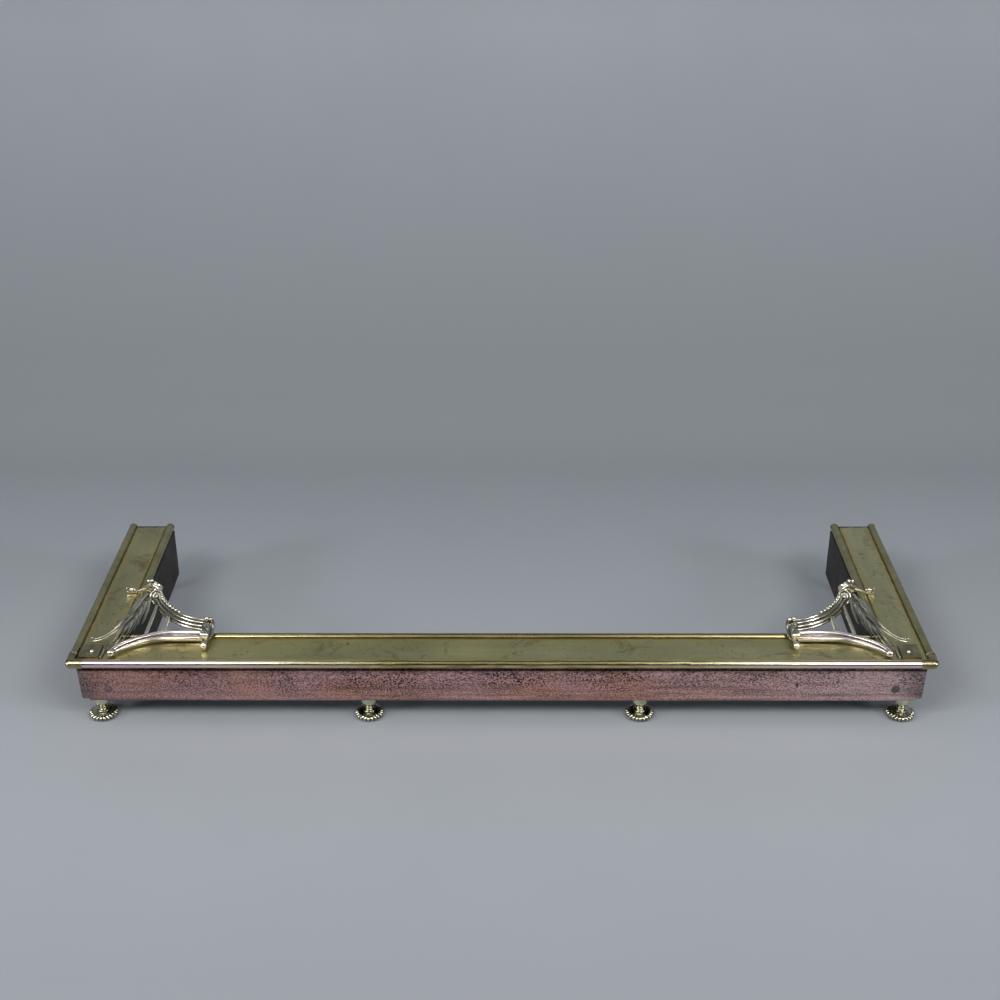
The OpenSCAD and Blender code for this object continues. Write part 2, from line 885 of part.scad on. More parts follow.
// Section of the arch: two reeds and a broad band between them
module arch_section() {
    translate([arch_r - low_reed_r, arch_low_h]) circle(low_reed_r);
    translate([arch_r - arch_band_w * 0.5, arch_low_h + arch_rise * 0.45]) circle(band_reed_r);
    translate([crest_r, crest_h]) circle(crest_reed_r);
    polygon([
        [arch_r - 1, arch_low_h - 1],
        [arch_r - 1, arch_low_h + 1],
        [crest_r + 1, crest_h + 1],
        [crest_r - 1, crest_h - 2],
        [crest_r + arch_band_w * 0.5, arch_low_h - 1]
    ]);
}

function on_arch(r, a) = [arch_u + r * cos(a), arch_v + r * sin(a)];
// Angle of one of the small leaves along the crest
function crest_leaf_a(k) = arch_from_a + arch_sweep * (0.386 + k * 0.086);

// Small ball held in a curled rim, with the rod that joins it to a husk.
// Drawn across the rail: x is the inset, y runs along the rail, z is up
module scrolled_foot(ball_s, husk_s, husk_h) {
    foot_z = rim_r + scroll_seat;
    translate([ball_s, 0, foot_z]) {
        sphere(ball_r);
        rotate([90, 0, 0])
            rotate_extrude()
                polygon([
                    [0, -rim_t / 3],
                    [ball_r + 0.6, -rim_t / 3],
                    [ball_r + 1.2, -rim_t / 2],
                    [rim_r - 0.5, -rim_t / 2],
                    [rim_r, -rim_t / 3],
                    [rim_r, rim_t / 3],
                    [rim_r - 0.5, rim_t / 2],
                    [ball_r + 1.2, rim_t / 2],
                    [ball_r + 0.6, rim_t / 3],
                    [0, rim_t / 3]
                ]);
    }
    rod_from = [ball_s + rim_r - 1.2, foot_z + 0.6];
    rod_run = [husk_s - rod_from[0], husk_h - rod_from[1]];
    translate([rod_from[0], 0, rod_from[1]])
        rotate([0, atan2(rod_run[0], rod_run[1]), 0])
            cylinder(h = norm(rod_run), r = curl_strip_r + 0.8);
}

// Drum that the arch's end stands against; turned away from the arch by tilt
module ferrule(a, tilt)
    translate([arch_u, arch_v, 0])
        rotate([0, 0, a])
            translate([arch_mid_r, 0, arch_low_h + arch_rise / 2])
                rotate([tilt, 0, 0])
                    translate([0, 0, cast_gap])
                        cylinder(h = ferrule_len, r = ferrule_r);

// Husk, twin knobs and scrolled foot, drawn across the rail
module scroll_end(ball_s, husk_s, husk_h, knob_s, knob_h, husk_turn) {
    scrolled_foot(ball_s, husk_s, husk_h);
    translate([husk_s, 0, husk_h])
        rotate([0, 0, husk_turn])
            sphere(husk_r);
    translate([knob_s, -knob_r * 0.55, knob_h])
        sphere(knob_r);
    translate([knob_s, knob_r * 0.7, knob_h])
        sphere(knob_r * 0.75);
}

// End of the arch over the front rail, with the collar of the smooth arm
module front_scroll() color(brass) {
    ferrule(arch_to_a, -90);
    translate([front_end_u, 0, 0])
        rotate([0, 0, 90])
            mirror([0, 1, 0])
                scroll_end(
                    front_rail_w - front_ball_in,
                    front_rail_w - front_husk_in, front_husk_h,
                    front_rail_w + front_knob_out, front_knob_h,
                    front_husk_turn
                );
    translate([arm_end_u + cast_gap, arm_v, arm_reed_h])
        rotate([0, 90, 0])
            cylinder(h = front_end_u - arm_end_u + 2, r = arm_reed_r + 2);
}

module left_front_scroll() on_left_corner() front_scroll();
module right_front_scroll() on_right_corner() front_scroll();

// End of the arch over the side rail
module side_scroll() color(brass) {
    ferrule(arch_from_a, 90);
    translate([0, side_end_v, 0])
        scroll_end(
            side_rail_w - side_ball_in,
            side_rail_w + side_husk_out, side_husk_h,
            side_rail_w + side_knob_out, side_knob_h,
            side_husk_turn
        );
}

module left_side_scroll() on_left_corner() side_scroll();
module right_side_scroll() on_right_corner() side_scroll();

// Round scroll that faces the room: a disc with two raised rings and a boss
module volute() {
    cylinder(h = 5, r = volute_r - 1);
    translate([0, 0, 5])
        rotate_extrude()
            translate([volute_r - 1.5, 0])
                circle(1.5);
    translate([0, 0, 5])
        rotate_extrude()
            translate([volute_r * 0.48, 0])
                circle(1.2);
    translate([0, 0, 5])
        sphere(2.4);
}

// Front inset at which the arch's inside crosses a side inset
function arch_inner_v(u) = arch_v - sqrt(pow(arch_r - 3, 2) - pow(arch_u - u, 2));

// Rib on a line of constant side inset, cut clear of the smooth arm's bend
module arch_rib(u)
    difference() {
        translate([u - rib_w / 2, arm_v - rib_root, arch_low_h - 1])
            cube([rib_w, arch_inner_v(u) - arm_v + rib_root, rib_t]);
        translate([bend_u, bend_v, -1])
            cylinder(h = crest_h * 2, r = arm_bend_r + arm_reed_r + cast_gap);
    }

module fluted_arch() color(brass) {
    translate([arch_u, arch_v, 0])
        rotate([0, 0, arch_from_a])
            rotate_extrude(angle = arch_sweep)
                arch_section();
    for (k = [0:5])
        translate([
            on_arch(crest_r, crest_leaf_a(k))[0],
            on_arch(crest_r, crest_leaf_a(k))[1],
            crest_h + crest_reed_r * 0.65
        ])
            sphere(crest_leaf_r * (1 - k / 13));
    translate([
        on_arch(arch_r - arch_band_w / 2, volute_a)[0],
        on_arch(arch_r - arch_band_w / 2, volute_a)[1],
        arch_low_h + 5
    ])
        rotate([50, 0, 12])
            volute();
    arch_rib(side_rail_w + first_rib_out);
    arch_rib(side_rail_w + second_rib_out);
}

module left_fluted_arch() on_left_corner() fluted_arch();
module right_fluted_arch() on_right_corner() fluted_arch();

// Leaf arm: a stem from the arch's husk to the corner, with acanthus blades.
// Points are insets from the rail corner's inner edges and heights, and are
// stretched to the reach of the arch
leaf_plan = (side_end_v - front_rail_w) / 114;
stem_points = [
    [12, 103, 9], [9, 86, 10.5], [6.5, 68, 11.5], [4, 50, 11.5],
    [2, 33, 11.5], [-1, 16, 11.5], [-4, 0, 11.5], [-10, -17, 9], [-20, -35, 2.5]
];
// Root, middle and tip of each blade, and its share of the blade width
blades = [
    [[10, 96, 12], [0, 66, 15], [-9, 38, 8], 0.85],
    [[9, 86, 13], [-1, 50, 16], [-14, 16, 7], 1.0],
    [[7, 70, 13], [-4, 32, 16], [-21, 0, 6], 1.0],
    [[4, 50, 13], [-6, 8, 15], [-30, -12, 5], 0.9],
    [[-2, 14, 12], [-14, -16, 12], [-48, -25, 4], 0.85],
    [[13, 98, 11], [19, 62, 14], [13, 28, 9], 1.0],
    [[8, 74, 12], [15, 36, 14], [6, 4, 8], 0.95],
    [[4, 46, 12], [8, 12, 13], [-4, -22, 7], 0.9],
    [[0, 24, 12], [1, -8, 12], [-15, -42, 5], 0.8]
];
blade_steps = 7;

function corner_point(p) =
    [side_rail_w, front_rail_w, 0] + p * leaf_plan;
function bezier(b, t) =
    pow(1 - t, 2) * b[0] + 2 * t * (1 - t) * b[1] + t * t * b[2];
function blade_width(t) = 0.35 + 0.65 * sin(180 * pow(t, 0.75)) - 0.27 * t;

// Blade lofted along a curve: two rounded lobes with a vein between them
module blade(b) {
    w = blade_w * b[3];
    rows = [
        for (k = [0:blade_steps])
            let (
                t = k / blade_steps,
                here = bezier(b, t),
                ahead = bezier(b, t + 0.01) - here,
                side = [ahead[1], -ahead[0], 0] / norm([ahead[0], ahead[1]]),
                half = w * blade_width(t) / 2,
                up = [0, 0, 1]
            )
                [
                    here - side * half - up * half * 0.35,
                    here - side * half * 0.5 + up * half * 0.35,
                    here - up * half * 0.05,
                    here + side * half * 0.5 + up * half * 0.35,
                    here + side * half - up * half * 0.35,
                    here - up * half * 0.75
                ]
    ];
    count = 6;
    skin = [
        for (j = [0:blade_steps - 1], k = [0:count - 1])
            let (a = j * count + k, b2 = j * count + (k + 1) % count)
                each [[a, a + count, b2], [b2, a + count, b2 + count]]
    ];
    last = blade_steps * count;
    root_cap = [[0, 1, 2], [0, 2, 5], [2, 3, 4], [2, 4, 5]];
    tip_cap = [for (f = root_cap) [last + f[0], last + f[2], last + f[1]]];
    polyhedron([for (row = rows) each row], concat(skin, root_cap, tip_cap));
}

module leaf_arm() color(brass) {
    stems = len(stem_points) - 1;
    for (k = [0:stems - 1])
        hull() {
            translate(corner_point(stem_points[k]))
                sphere(stem_root_r + (stem_foot_r - stem_root_r) * k / stems, $fn = 12);
            translate(corner_point(stem_points[k + 1]))
                sphere(stem_root_r + (stem_foot_r - stem_root_r) * (k + 1) / stems, $fn = 12);
        }
    for (b = blades)
        blade([corner_point(b[0]), corner_point(b[1]), corner_point(b[2]), b[3]]);
}

module left_leaf_arm() on_left_corner() leaf_arm();
module right_leaf_arm() on_right_corner() leaf_arm();

front_top_plate();
left_top_plate();
right_top_plate();
front_outer_bead();
left_outer_bead();
right_outer_bead();
front_inner_bead();
left_inner_bead();
right_inner_bead();
left_corner_cap();
right_corner_cap();
left_bead_tips();
right_bead_tips();
front_fascia();
left_fascia();
right_fascia();
left_corner_wrap();
right_corner_wrap();
front_liner();
left_liner();
right_liner();
left_end_plate();
right_end_plate();
left_corner_bracket();
right_corner_bracket();
left_mid_strap();
right_mid_strap();
left_rear_strap();
right_rear_strap();
left_front_foot();
right_front_foot();
left_mid_foot();
right_mid_foot();
left_rear_foot();
right_rear_foot();
foot_nuts();
left_fascia_rivets();
right_fascia_rivets();
pad_rivets();
left_corner_pad();
right_corner_pad();
left_smooth_arm();
right_smooth_arm();
left_fluted_arch();
right_fluted_arch();
left_front_scroll();
right_front_scroll();
left_side_scroll();
right_side_scroll();
left_leaf_arm();
right_leaf_arm();
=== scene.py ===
# %% [markdown]
# # A brass and copper fire fender
# A fender is a low wall that stands round a hearth and keeps embers off the
# floor. This one has a flat brass rail between two brass tubes, a copper
# fascia below it, an iron liner behind that, ball feet, and an openwork
# casting on each front corner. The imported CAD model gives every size. Here
# the surfaces get their metal, and the ornament gets its fine form.

import math

import bpy
from mathutils import Matrix, Vector


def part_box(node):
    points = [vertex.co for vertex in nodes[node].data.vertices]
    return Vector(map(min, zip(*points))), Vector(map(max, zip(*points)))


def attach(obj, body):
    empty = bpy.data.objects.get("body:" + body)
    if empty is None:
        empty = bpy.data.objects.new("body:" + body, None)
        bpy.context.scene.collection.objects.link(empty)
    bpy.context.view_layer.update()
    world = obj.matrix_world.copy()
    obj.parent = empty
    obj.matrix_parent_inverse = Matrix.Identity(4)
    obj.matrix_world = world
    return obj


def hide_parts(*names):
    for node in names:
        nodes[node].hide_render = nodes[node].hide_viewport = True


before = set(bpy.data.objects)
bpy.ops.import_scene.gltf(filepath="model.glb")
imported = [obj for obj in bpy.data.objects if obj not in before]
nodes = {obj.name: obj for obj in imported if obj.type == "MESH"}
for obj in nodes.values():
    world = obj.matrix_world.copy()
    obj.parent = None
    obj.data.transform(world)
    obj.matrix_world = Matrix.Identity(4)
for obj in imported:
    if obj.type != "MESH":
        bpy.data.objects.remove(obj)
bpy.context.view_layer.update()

# %% [markdown]
# ## Where things are
# Sizes are read from the CAD nodes, so a change of the model carries over.
# Each edge is the outer face of a tube.

# %% Lines that the finishes refer to
front_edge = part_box("front_outer_bead")[0].y
left_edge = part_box("left_outer_bead")[0].x
right_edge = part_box("right_outer_bead")[1].x
rail_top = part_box("front_top_plate")[1].z
rail_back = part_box("front_inner_bead")[1].y
leg_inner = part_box("left_inner_bead")[1].x
rear_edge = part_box("left_top_plate")[1].y

# %% [markdown]
# ## The camera
# The view was matched to the photograph: the camera stands a little under
# two metres in front of the fender, at chest height, and looks down at about
# 27 degrees. Its place is set as a matrix: a shift and three plain rotations.

# %% Put the camera where the photographer stood
sensor_width, focal_length = 36.0, 53.286
camera_place = (0.00516, front_edge - 1.76688, 1.29526)
turn, tilt, roll = 0.003934, math.radians(90 - 27.451), -0.001585

view_data = bpy.data.cameras.new("front_view")
view_data.sensor_width = sensor_width
view_data.lens = focal_length
view_data.clip_end = 50
camera = bpy.data.objects.new("front_view", view_data)
bpy.context.scene.collection.objects.link(camera)
camera.matrix_world = (
    Matrix.Translation(camera_place)
    @ Matrix.Rotation(turn, 4, "Z")
    @ Matrix.Rotation(tilt, 4, "X")
    @ Matrix.Rotation(roll, 4, "Z")
)
bpy.context.scene.camera = camera


# %% [markdown]
# ## Small helpers
# An operator works on whatever is selected, and the CAD nodes come in
# selected. So every modelling step starts by selecting nothing.

# %% Selection and edit mode
def select_only(*objects):
    """Leaves only these objects selected, with the last one active."""
    bpy.ops.object.select_all(action="DESELECT")
    for one in objects:
        one.select_set(True)
        bpy.context.view_layer.objects.active = one


def newest(name):
    """Names the object that an operator has just added."""
    piece = bpy.context.object
    piece.name = name
    piece.data.name = name
    return piece


def edit_mode():
    """Goes into edit mode and keeps what is selected there."""
    bpy.ops.object.mode_set(mode="EDIT")


def edit_everything():
    """Goes into edit mode with the whole mesh selected."""
    edit_mode()
    bpy.ops.mesh.select_all(action="SELECT")


def object_mode():
    """Comes back to object mode, which also stores the edits."""
    bpy.ops.object.mode_set(mode="OBJECT")


def deselect(*parts):
    """Deselects vertices, edges or faces in object mode."""
    for some in parts:
        for part in some:
            part.select = False


select_only()

# %% [markdown]
# ## The floor and backdrop
# A photographer hangs a paper roll so that it runs down the wall and out over
# the floor without a corner. One plane does the same: its rear edge is
# extruded upwards, and the fold is rounded with a bevel. A flat brass rail
# seen from the front shows mostly this wall. The normals point into the room,
# so that the material can tell the paper's front from its back.

# %% A paper sweep
paper_size, paper_middle = (14, 7.2, 1), (0, -2.2, 0)
wall_rise = (0, 0.25, 4.2)
fold_radius = 0.75

bpy.ops.mesh.primitive_plane_add(size=1)
sweep = newest("paper_sweep")
edit_everything()
bpy.ops.transform.resize(value=paper_size)
bpy.ops.transform.translate(value=paper_middle)
object_mode()
corners = sweep.data.vertices
rear = max(v.co.y for v in corners)

# %% Raise the wall from the rear edge
for edge in sweep.data.edges:
    edge.select = all(corners[i].co.y > rear - 0.01 for i in edge.vertices)
deselect(sweep.data.polygons)
edit_mode()
bpy.ops.mesh.extrude_region_move(TRANSFORM_OT_translate={"value": wall_rise})
object_mode()

# %% Round the fold
corners = sweep.data.vertices
for edge in sweep.data.edges:
    ends = [corners[i].co for i in edge.vertices]
    edge.select = all(abs(p.y - rear) < 0.01 and p.z < 0.01 for p in ends)
edit_mode()
bpy.ops.mesh.bevel(offset=fold_radius, segments=16, affect="EDGES")
bpy.ops.mesh.select_all(action="SELECT")
bpy.ops.mesh.normals_make_consistent(inside=False)
object_mode()
floor_face = max(sweep.data.polygons, key=lambda face: face.area)
if floor_face.normal.z < 0:
    edit_mode()
    bpy.ops.mesh.flip_normals()
    object_mode()
bpy.ops.object.shade_smooth()
select_only()


# %% [markdown]
# ## Soft light
# Shadows and highlights tell where the lights stood. The shadow of the fascia
# on the floor says that the light came down at about 48 degrees. The feet are
# brightest far out to the left and right, so much of it came from low panels
# at the sides, and the rest from high ones in front.
# Two panels overhead whiten the ends of the front tube, and a narrow one draws
# the thin line along its top. The world stays dim as a light, for black
# shadows, and is pale only where the camera looks straight at it.

# %% Light panels
def soft_panel(name, place, aim, size, power, tint, spread=180):
    """An area light at a place, turned to face another place."""
    data = bpy.data.lights.new(name, "AREA")
    data.shape = "RECTANGLE"
    data.size, data.size_y = size
    data.energy = power
    data.color = tint
    data.spread = math.radians(spread)
    panel = bpy.data.objects.new(name, data)
    bpy.context.scene.collection.objects.link(panel)
    panel.location = place
    facing = Vector(aim) - Vector(place)
    panel.rotation_euler = facing.to_track_quat("-Z", "Y").to_euler()


for side in (-1, 1):
    soft_panel(
        "front_panel", (side * 1.8, -2.4, 2.75), (side * 0.2, -0.1, 0.0),
        (1.9, 0.85), 26, (1.0, 0.99, 0.975), 120,
    )
    soft_panel(
        "side_panel", (side * 2.6, -1.15, 1.05), (0, -0.1, 0.05),
        (0.5, 0.4), 20, (0.97, 0.985, 1.0),
    )
    soft_panel(
        "end_panel", (side * 1.1, -0.6, 2.7), (side * 0.6, -0.2, 0),
        (0.85, 1.4), 6, (1.0, 0.985, 0.97),
    )
soft_panel(
    "line_panel", (0.0, -1.5, 2.7), (0, -0.2, 0), (3.6, 0.45), 8, (1.0, 0.985, 0.965)
)

# %% The room
world = bpy.data.worlds.new("soft_room")
bpy.context.scene.world = world
world.use_nodes = True
tree = world.node_tree
dim = tree.nodes["Background"]
pale = tree.nodes.new("ShaderNodeBackground")
for background, strength in ((dim, 0.02), (pale, 0.4)):
    background.inputs["Color"].default_value = (0.62, 0.68, 0.76, 1)
    background.inputs["Strength"].default_value = strength
seen = tree.nodes.new("ShaderNodeLightPath")
choice = tree.nodes.new("ShaderNodeMixShader")
tree.links.new(seen.outputs["Is Camera Ray"], choice.inputs[0])
tree.links.new(dim.outputs[0], choice.inputs[1])
tree.links.new(pale.outputs[0], choice.inputs[2])
tree.links.new(choice.outputs[0], tree.nodes["World Output"].inputs["Surface"])
bpy.context.scene.view_settings.view_transform = "Standard"

# %% [markdown]
# ## Building materials from small parts
# A node group is a recipe with named inputs and outputs. It is built once and
# placed in each material that needs it, with its own values.

# %% Helpers for shader recipes
def new_group(name, inputs, outputs=("Mask",)):
    """An empty shader group, with its sockets to read from and to link to."""
    tree = bpy.data.node_groups.new(name, "ShaderNodeTree")
    sockets = tree.interface
    for label, value in inputs.items():
        kind = "NodeSocketVector" if label == "Stretch" else "NodeSocketFloat"
        socket = sockets.new_socket(label, in_out="INPUT", socket_type=kind)
        socket.default_value = value
    for label in outputs:
        sockets.new_socket(label, in_out="OUTPUT", socket_type="NodeSocketFloat")
    start = tree.nodes.new("NodeGroupInput")
    end = tree.nodes.new("NodeGroupOutput")
    return tree, start.outputs, end.inputs


def add(tree, kind, links=None, **settings):
    """Adds a node; links gives its inputs values or sockets."""
    node = tree.nodes.new("ShaderNode" + kind)
    for key, value in settings.items():
        setattr(node, key, value)
    for key, value in (links or {}).items():
        if isinstance(value, bpy.types.NodeSocket):
            tree.links.new(value, node.inputs[key])
        else:
            node.inputs[key].default_value = value
    return node


def maths(tree, operation, a, b=0.0):
    """One Math node's result."""
    return add(tree, "Math", {0: a, 1: b}, operation=operation).outputs[0]


def product(tree, first, *more):
    """Values multiplied together."""
    for value in more:
        first = maths(tree, "MULTIPLY", first, value)
    return first


def ramp(tree, value, low, high, out_low=0.0, out_high=1.0):
    """Maps low..high of a value to out_low..out_high, held at both ends."""
    links = {0: value, 1: low, 2: high, 3: out_low, 4: out_high}
    return add(tree, "MapRange", links, clamp=True).outputs[0]


def layered(tree, colour, *layers):
    """Lays tints over a colour in turn, each as far as its masks let it."""
    for tint, *masks in layers:
        links = {0: product(tree, *masks), 6: colour, 7: tint}
        colour = add(tree, "Mix", links, data_type="RGBA").outputs[2]
    return colour


def object_place(tree):
    """Where a point lies on the piece, in metres."""
    return add(tree, "TexCoord").outputs["Object"]


def squeezed_place(tree, stretch):
    """The same, multiplied by a vector."""
    links = {0: object_place(tree), 1: stretch}
    return add(tree, "VectorMath", links, operation="MULTIPLY").outputs[0]


def noise(tree, place, scale, detail, **more):
    """Fractal noise about 0.5 at a place."""
    links = {"Vector": place, "Scale": scale, "Detail": detail, **more}
    return add(tree, "TexNoise", links).outputs[0]


# %% [markdown]
# ## Recipe: clouds of tarnish
# Brass that stands in a room goes brown in soft patches. Fractal noise has
# that look once its middle range is stretched: below Low there is none of it,
# above High all of it. Stretch squeezes the pattern along one axis, which
# turns clouds into wiped streaks.

# %% Tarnish clouds
clouds_group, given, result = new_group("tarnish_clouds", {
    "Stretch": (1, 1, 1), "Scale": 10.0, "Roughness": 0.6,
    "Distortion": 0.0, "Low": 0.45, "High": 0.65,
})
tree = clouds_group
fractal = noise(
    tree, squeezed_place(tree, given["Stretch"]), given["Scale"], 6.0,
    Roughness=given["Roughness"], Distortion=given["Distortion"],
)
tree.links.new(ramp(tree, fractal, given["Low"], given["High"]), result["Mask"])

# %% [markdown]
# ## Recipe: specks
# Small dark points of corrosion are the middles of Voronoi cells. Only some
# cells have one: a second, coarser noise decides where they gather.

# %% Corrosion specks
specks_group, given, result = new_group(
    "corrosion_specks", {"Scale": 300.0, "Size": 0.25, "Gather": 0.5}
)
tree = specks_group
place = object_place(tree)
cells = add(tree, "TexVoronoi", {"Vector": place, "Scale": given["Scale"]}).outputs
any_number = add(tree, "SeparateColor", {0: cells["Color"]}).outputs[0]
radius = product(tree, any_number, given["Size"])
dot = ramp(tree, maths(tree, "SUBTRACT", radius, cells["Distance"]), 0.0, 0.06)
border = maths(tree, "ADD", given["Gather"], 0.12)
near = ramp(tree, noise(tree, place, 9.0, 3.0), given["Gather"], border)
tree.links.new(product(tree, dot, near), result["Mask"])

# %% [markdown]
# ## Recipe: worms of patina
# Old polished copper often shows a fine worm-like figure. A ridge is what is
# left where noise crosses its middle value, and strong distortion makes the
# ridges curl.

# %% Worm figure
worms_group, given, result = new_group(
    "patina_worms", {"Stretch": (1, 1, 1), "Scale": 150.0, "Curl": 1.2, "Width": 0.06}
)
tree = worms_group
curled = noise(
    tree, squeezed_place(tree, given["Stretch"]), given["Scale"], 2.0, Distortion=given["Curl"]
)
off_middle = maths(tree, "ABSOLUTE", maths(tree, "SUBTRACT", curled, 0.5))
tree.links.new(ramp(tree, off_middle, 0.0, given["Width"], 1.0, 0.0), result["Mask"])

# %% [markdown]
# ## Recipe: dirt along a line
# Polish and dust collect in the groove between a plate and its tube. This
# recipe takes one coordinate and a line on it, and is dark on the line and
# clear a little way off. Noise makes the border uneven.

# %% Groove dirt
groove_group, given, result = new_group(
    "groove_dirt", {"Position": 0.0, "Line": 0.0, "Width": 0.003}
)
tree = groove_group
off = maths(tree, "SUBTRACT", given["Position"], given["Line"])
uneven = ramp(tree, noise(tree, object_place(tree), 60.0, 4.0), 0.3, 0.7, 0.5, 1.5)
reach = product(tree, given["Width"], uneven)
share = maths(tree, "DIVIDE", maths(tree, "ABSOLUTE", off), reach)
tree.links.new(ramp(tree, share, 0.25, 1.0, 1.0, 0.0), result["Mask"])

# %% [markdown]
# ## Recipe: hollows and edges
# A polishing cloth rides over the high places and never reaches the low ones.
# The castings use these two masks for painted shade in the hollows and
# painted highlights on the edges. Ambient occlusion measures how shut in a
# point is, and the Bevel node turns the normal near an edge, so the angle
# between it and the true normal marks the edge.

# %% Hollows and edges
hollow_and_edge_group, given, result = new_group(
    "hollows_and_edges", {"Hollow Reach": 0.006, "Edge Width": 0.0006}, ("Hollow", "Edge")
)
tree = hollow_and_edge_group
reach = {"Distance": given["Hollow Reach"]}
open_sky = add(tree, "AmbientOcclusion", reach, samples=6).outputs["AO"]
tree.links.new(ramp(tree, open_sky, 0.45, 0.95, 1.0, 0.0), result["Hollow"])
rounded = add(tree, "Bevel", {"Radius": given["Edge Width"]}, samples=4).outputs[0]
true_normal = add(tree, "NewGeometry").outputs["Normal"]
same = add(
    tree, "VectorMath", {0: rounded, 1: true_normal}, operation="DOT_PRODUCT"
).outputs["Value"]
tree.links.new(ramp(tree, same, 0.80, 0.995, 1.0, 0.0), result["Edge"])


# %% [markdown]
# ## Metals
# Every metal here is one Principled shader. Metallic is 1, so Base Color is
# the colour of its reflection, and tarnish both darkens that colour and makes
# the surface rougher.

# %% Start a metal
def place_group(tree, group, **values):
    """Puts a recipe in a material with its own values."""
    links = {key.replace("_", " "): value for key, value in values.items()}
    return add(tree, "Group", links, node_tree=group)


def clouds(tree, **values):
    """The mask of the tarnish clouds."""
    return place_group(tree, clouds_group, **values).outputs[0]


def specks(tree, **values):
    """The mask of the corrosion specks."""
    return place_group(tree, specks_group, **values).outputs[0]


def start_metal(name, metallic=1.0):
    """A new material, its node tree and its Principled shader."""
    made = bpy.data.materials.new(name)
    made.use_nodes = True
    shader = made.node_tree.nodes["Principled BSDF"]
    shader.inputs["Metallic"].default_value = metallic
    return made, made.node_tree, shader


def coordinates(tree):
    """The x, y and z of a point on the piece, in metres."""
    return add(tree, "SeparateXYZ", {0: object_place(tree)}).outputs


def finished(tree, shader, colour, roughness, height, strength, distance):
    """Feeds the shader its colour, its roughness and the bump from a height."""
    links = {"Height": height, "Strength": strength, "Distance": distance}
    bump = add(tree, "Bump", links)
    tree.links.new(colour, shader.inputs["Base Color"])
    tree.links.new(roughness, shader.inputs["Roughness"])
    tree.links.new(bump.outputs[0], shader.inputs["Normal"])


# %% [markdown]
# ## Finish: the flat rails
# Sheet brass that is wiped along its length: olive where a thin tarnish lies
# on it, with brown stains, dark specks, faint wiping streaks, a golden edge
# and dark lines in the grooves beside both tubes. It is paler towards the
# right. The side rails are greyer than the front one, so the same recipe is
# made twice with its own colours. A colour ends with its alpha, which is 1.

# %% Rail brass
golden = (0.62, 0.49, 0.16, 1)
groove_dark = (0.03, 0.024, 0.012, 1)
groove_in = 0.0122


def groove(tree, position, line, width):
    """The mask of the groove dirt."""
    values = {"Position": position, "Line": line, "Width": width}
    return place_group(tree, groove_group, **values).outputs[0]


def rail_brass(name, clean, dull, along_x, groove_share):
    """Brass sheet; along_x says that the rail runs from left to right."""
    made, tree, shader = start_metal(name)
    x, y, _ = coordinates(tree)
    wiping = (0.12, 1, 1) if along_x else (1, 0.2, 1)
    wiped = clouds(tree, Stretch=wiping, Scale=42.0, Low=0.35, High=0.72)
    patches = clouds(tree, Scale=6.0, Roughness=0.55, Low=0.42, High=0.62)
    stains = clouds(tree, Scale=17.0, Roughness=0.75, Distortion=0.8, Low=0.54, High=0.66)
    blots = clouds(tree, Scale=75.0, Roughness=0.65, Low=0.64, High=0.70)
    dots = specks(tree, Scale=230.0, Size=0.3, Gather=0.48)
    colour = layered(
        tree, clean,
        (dull, patches),
        ((0.74, 0.72, 0.42, 1), ramp(tree, x, -0.2, 0.5, 0.0, 0.5)),
        ((0.34, 0.31, 0.14, 1), wiped, 0.45),
        ((0.20, 0.12, 0.05, 1), stains, 0.6),
        ((0.10, 0.06, 0.03, 1), blots, 0.7),
        ((0.03, 0.022, 0.012, 1), dots, 0.8),
    )
    if along_x:
        position = y
        lines = (front_edge + groove_in, rail_back - groove_in)
    else:
        position = maths(tree, "ABSOLUTE", x)
        lines = (-left_edge - groove_in, -leg_inner + groove_in)
    for line in lines:
        glow = groove(tree, position, line, 0.009)
        dirt = groove(tree, position, line, 0.0026)
        colour = layered(tree, colour, (golden, glow, 0.7), (groove_dark, dirt, groove_share))
    if not along_x:
        dirt = groove(tree, y, rear_edge, 0.006)
        colour = layered(tree, colour, ((0.03, 0.024, 0.015, 1), dirt))
    roughness = ramp(tree, maths(tree, "ADD", patches, stains), 0.0, 2.0, 0.30, 0.48)
    finished(tree, shader, colour, roughness, wiped, 0.06, 0.0006)
    return made


front_rail_brass = rail_brass(
    "front_rail_brass", (0.66, 0.605, 0.28, 1), (0.46, 0.44, 0.22, 1), True, 0.35
)
side_rail_brass = rail_brass(
    "side_rail_brass", (0.62, 0.56, 0.29, 1), (0.44, 0.41, 0.23, 1), False, 0.8
)
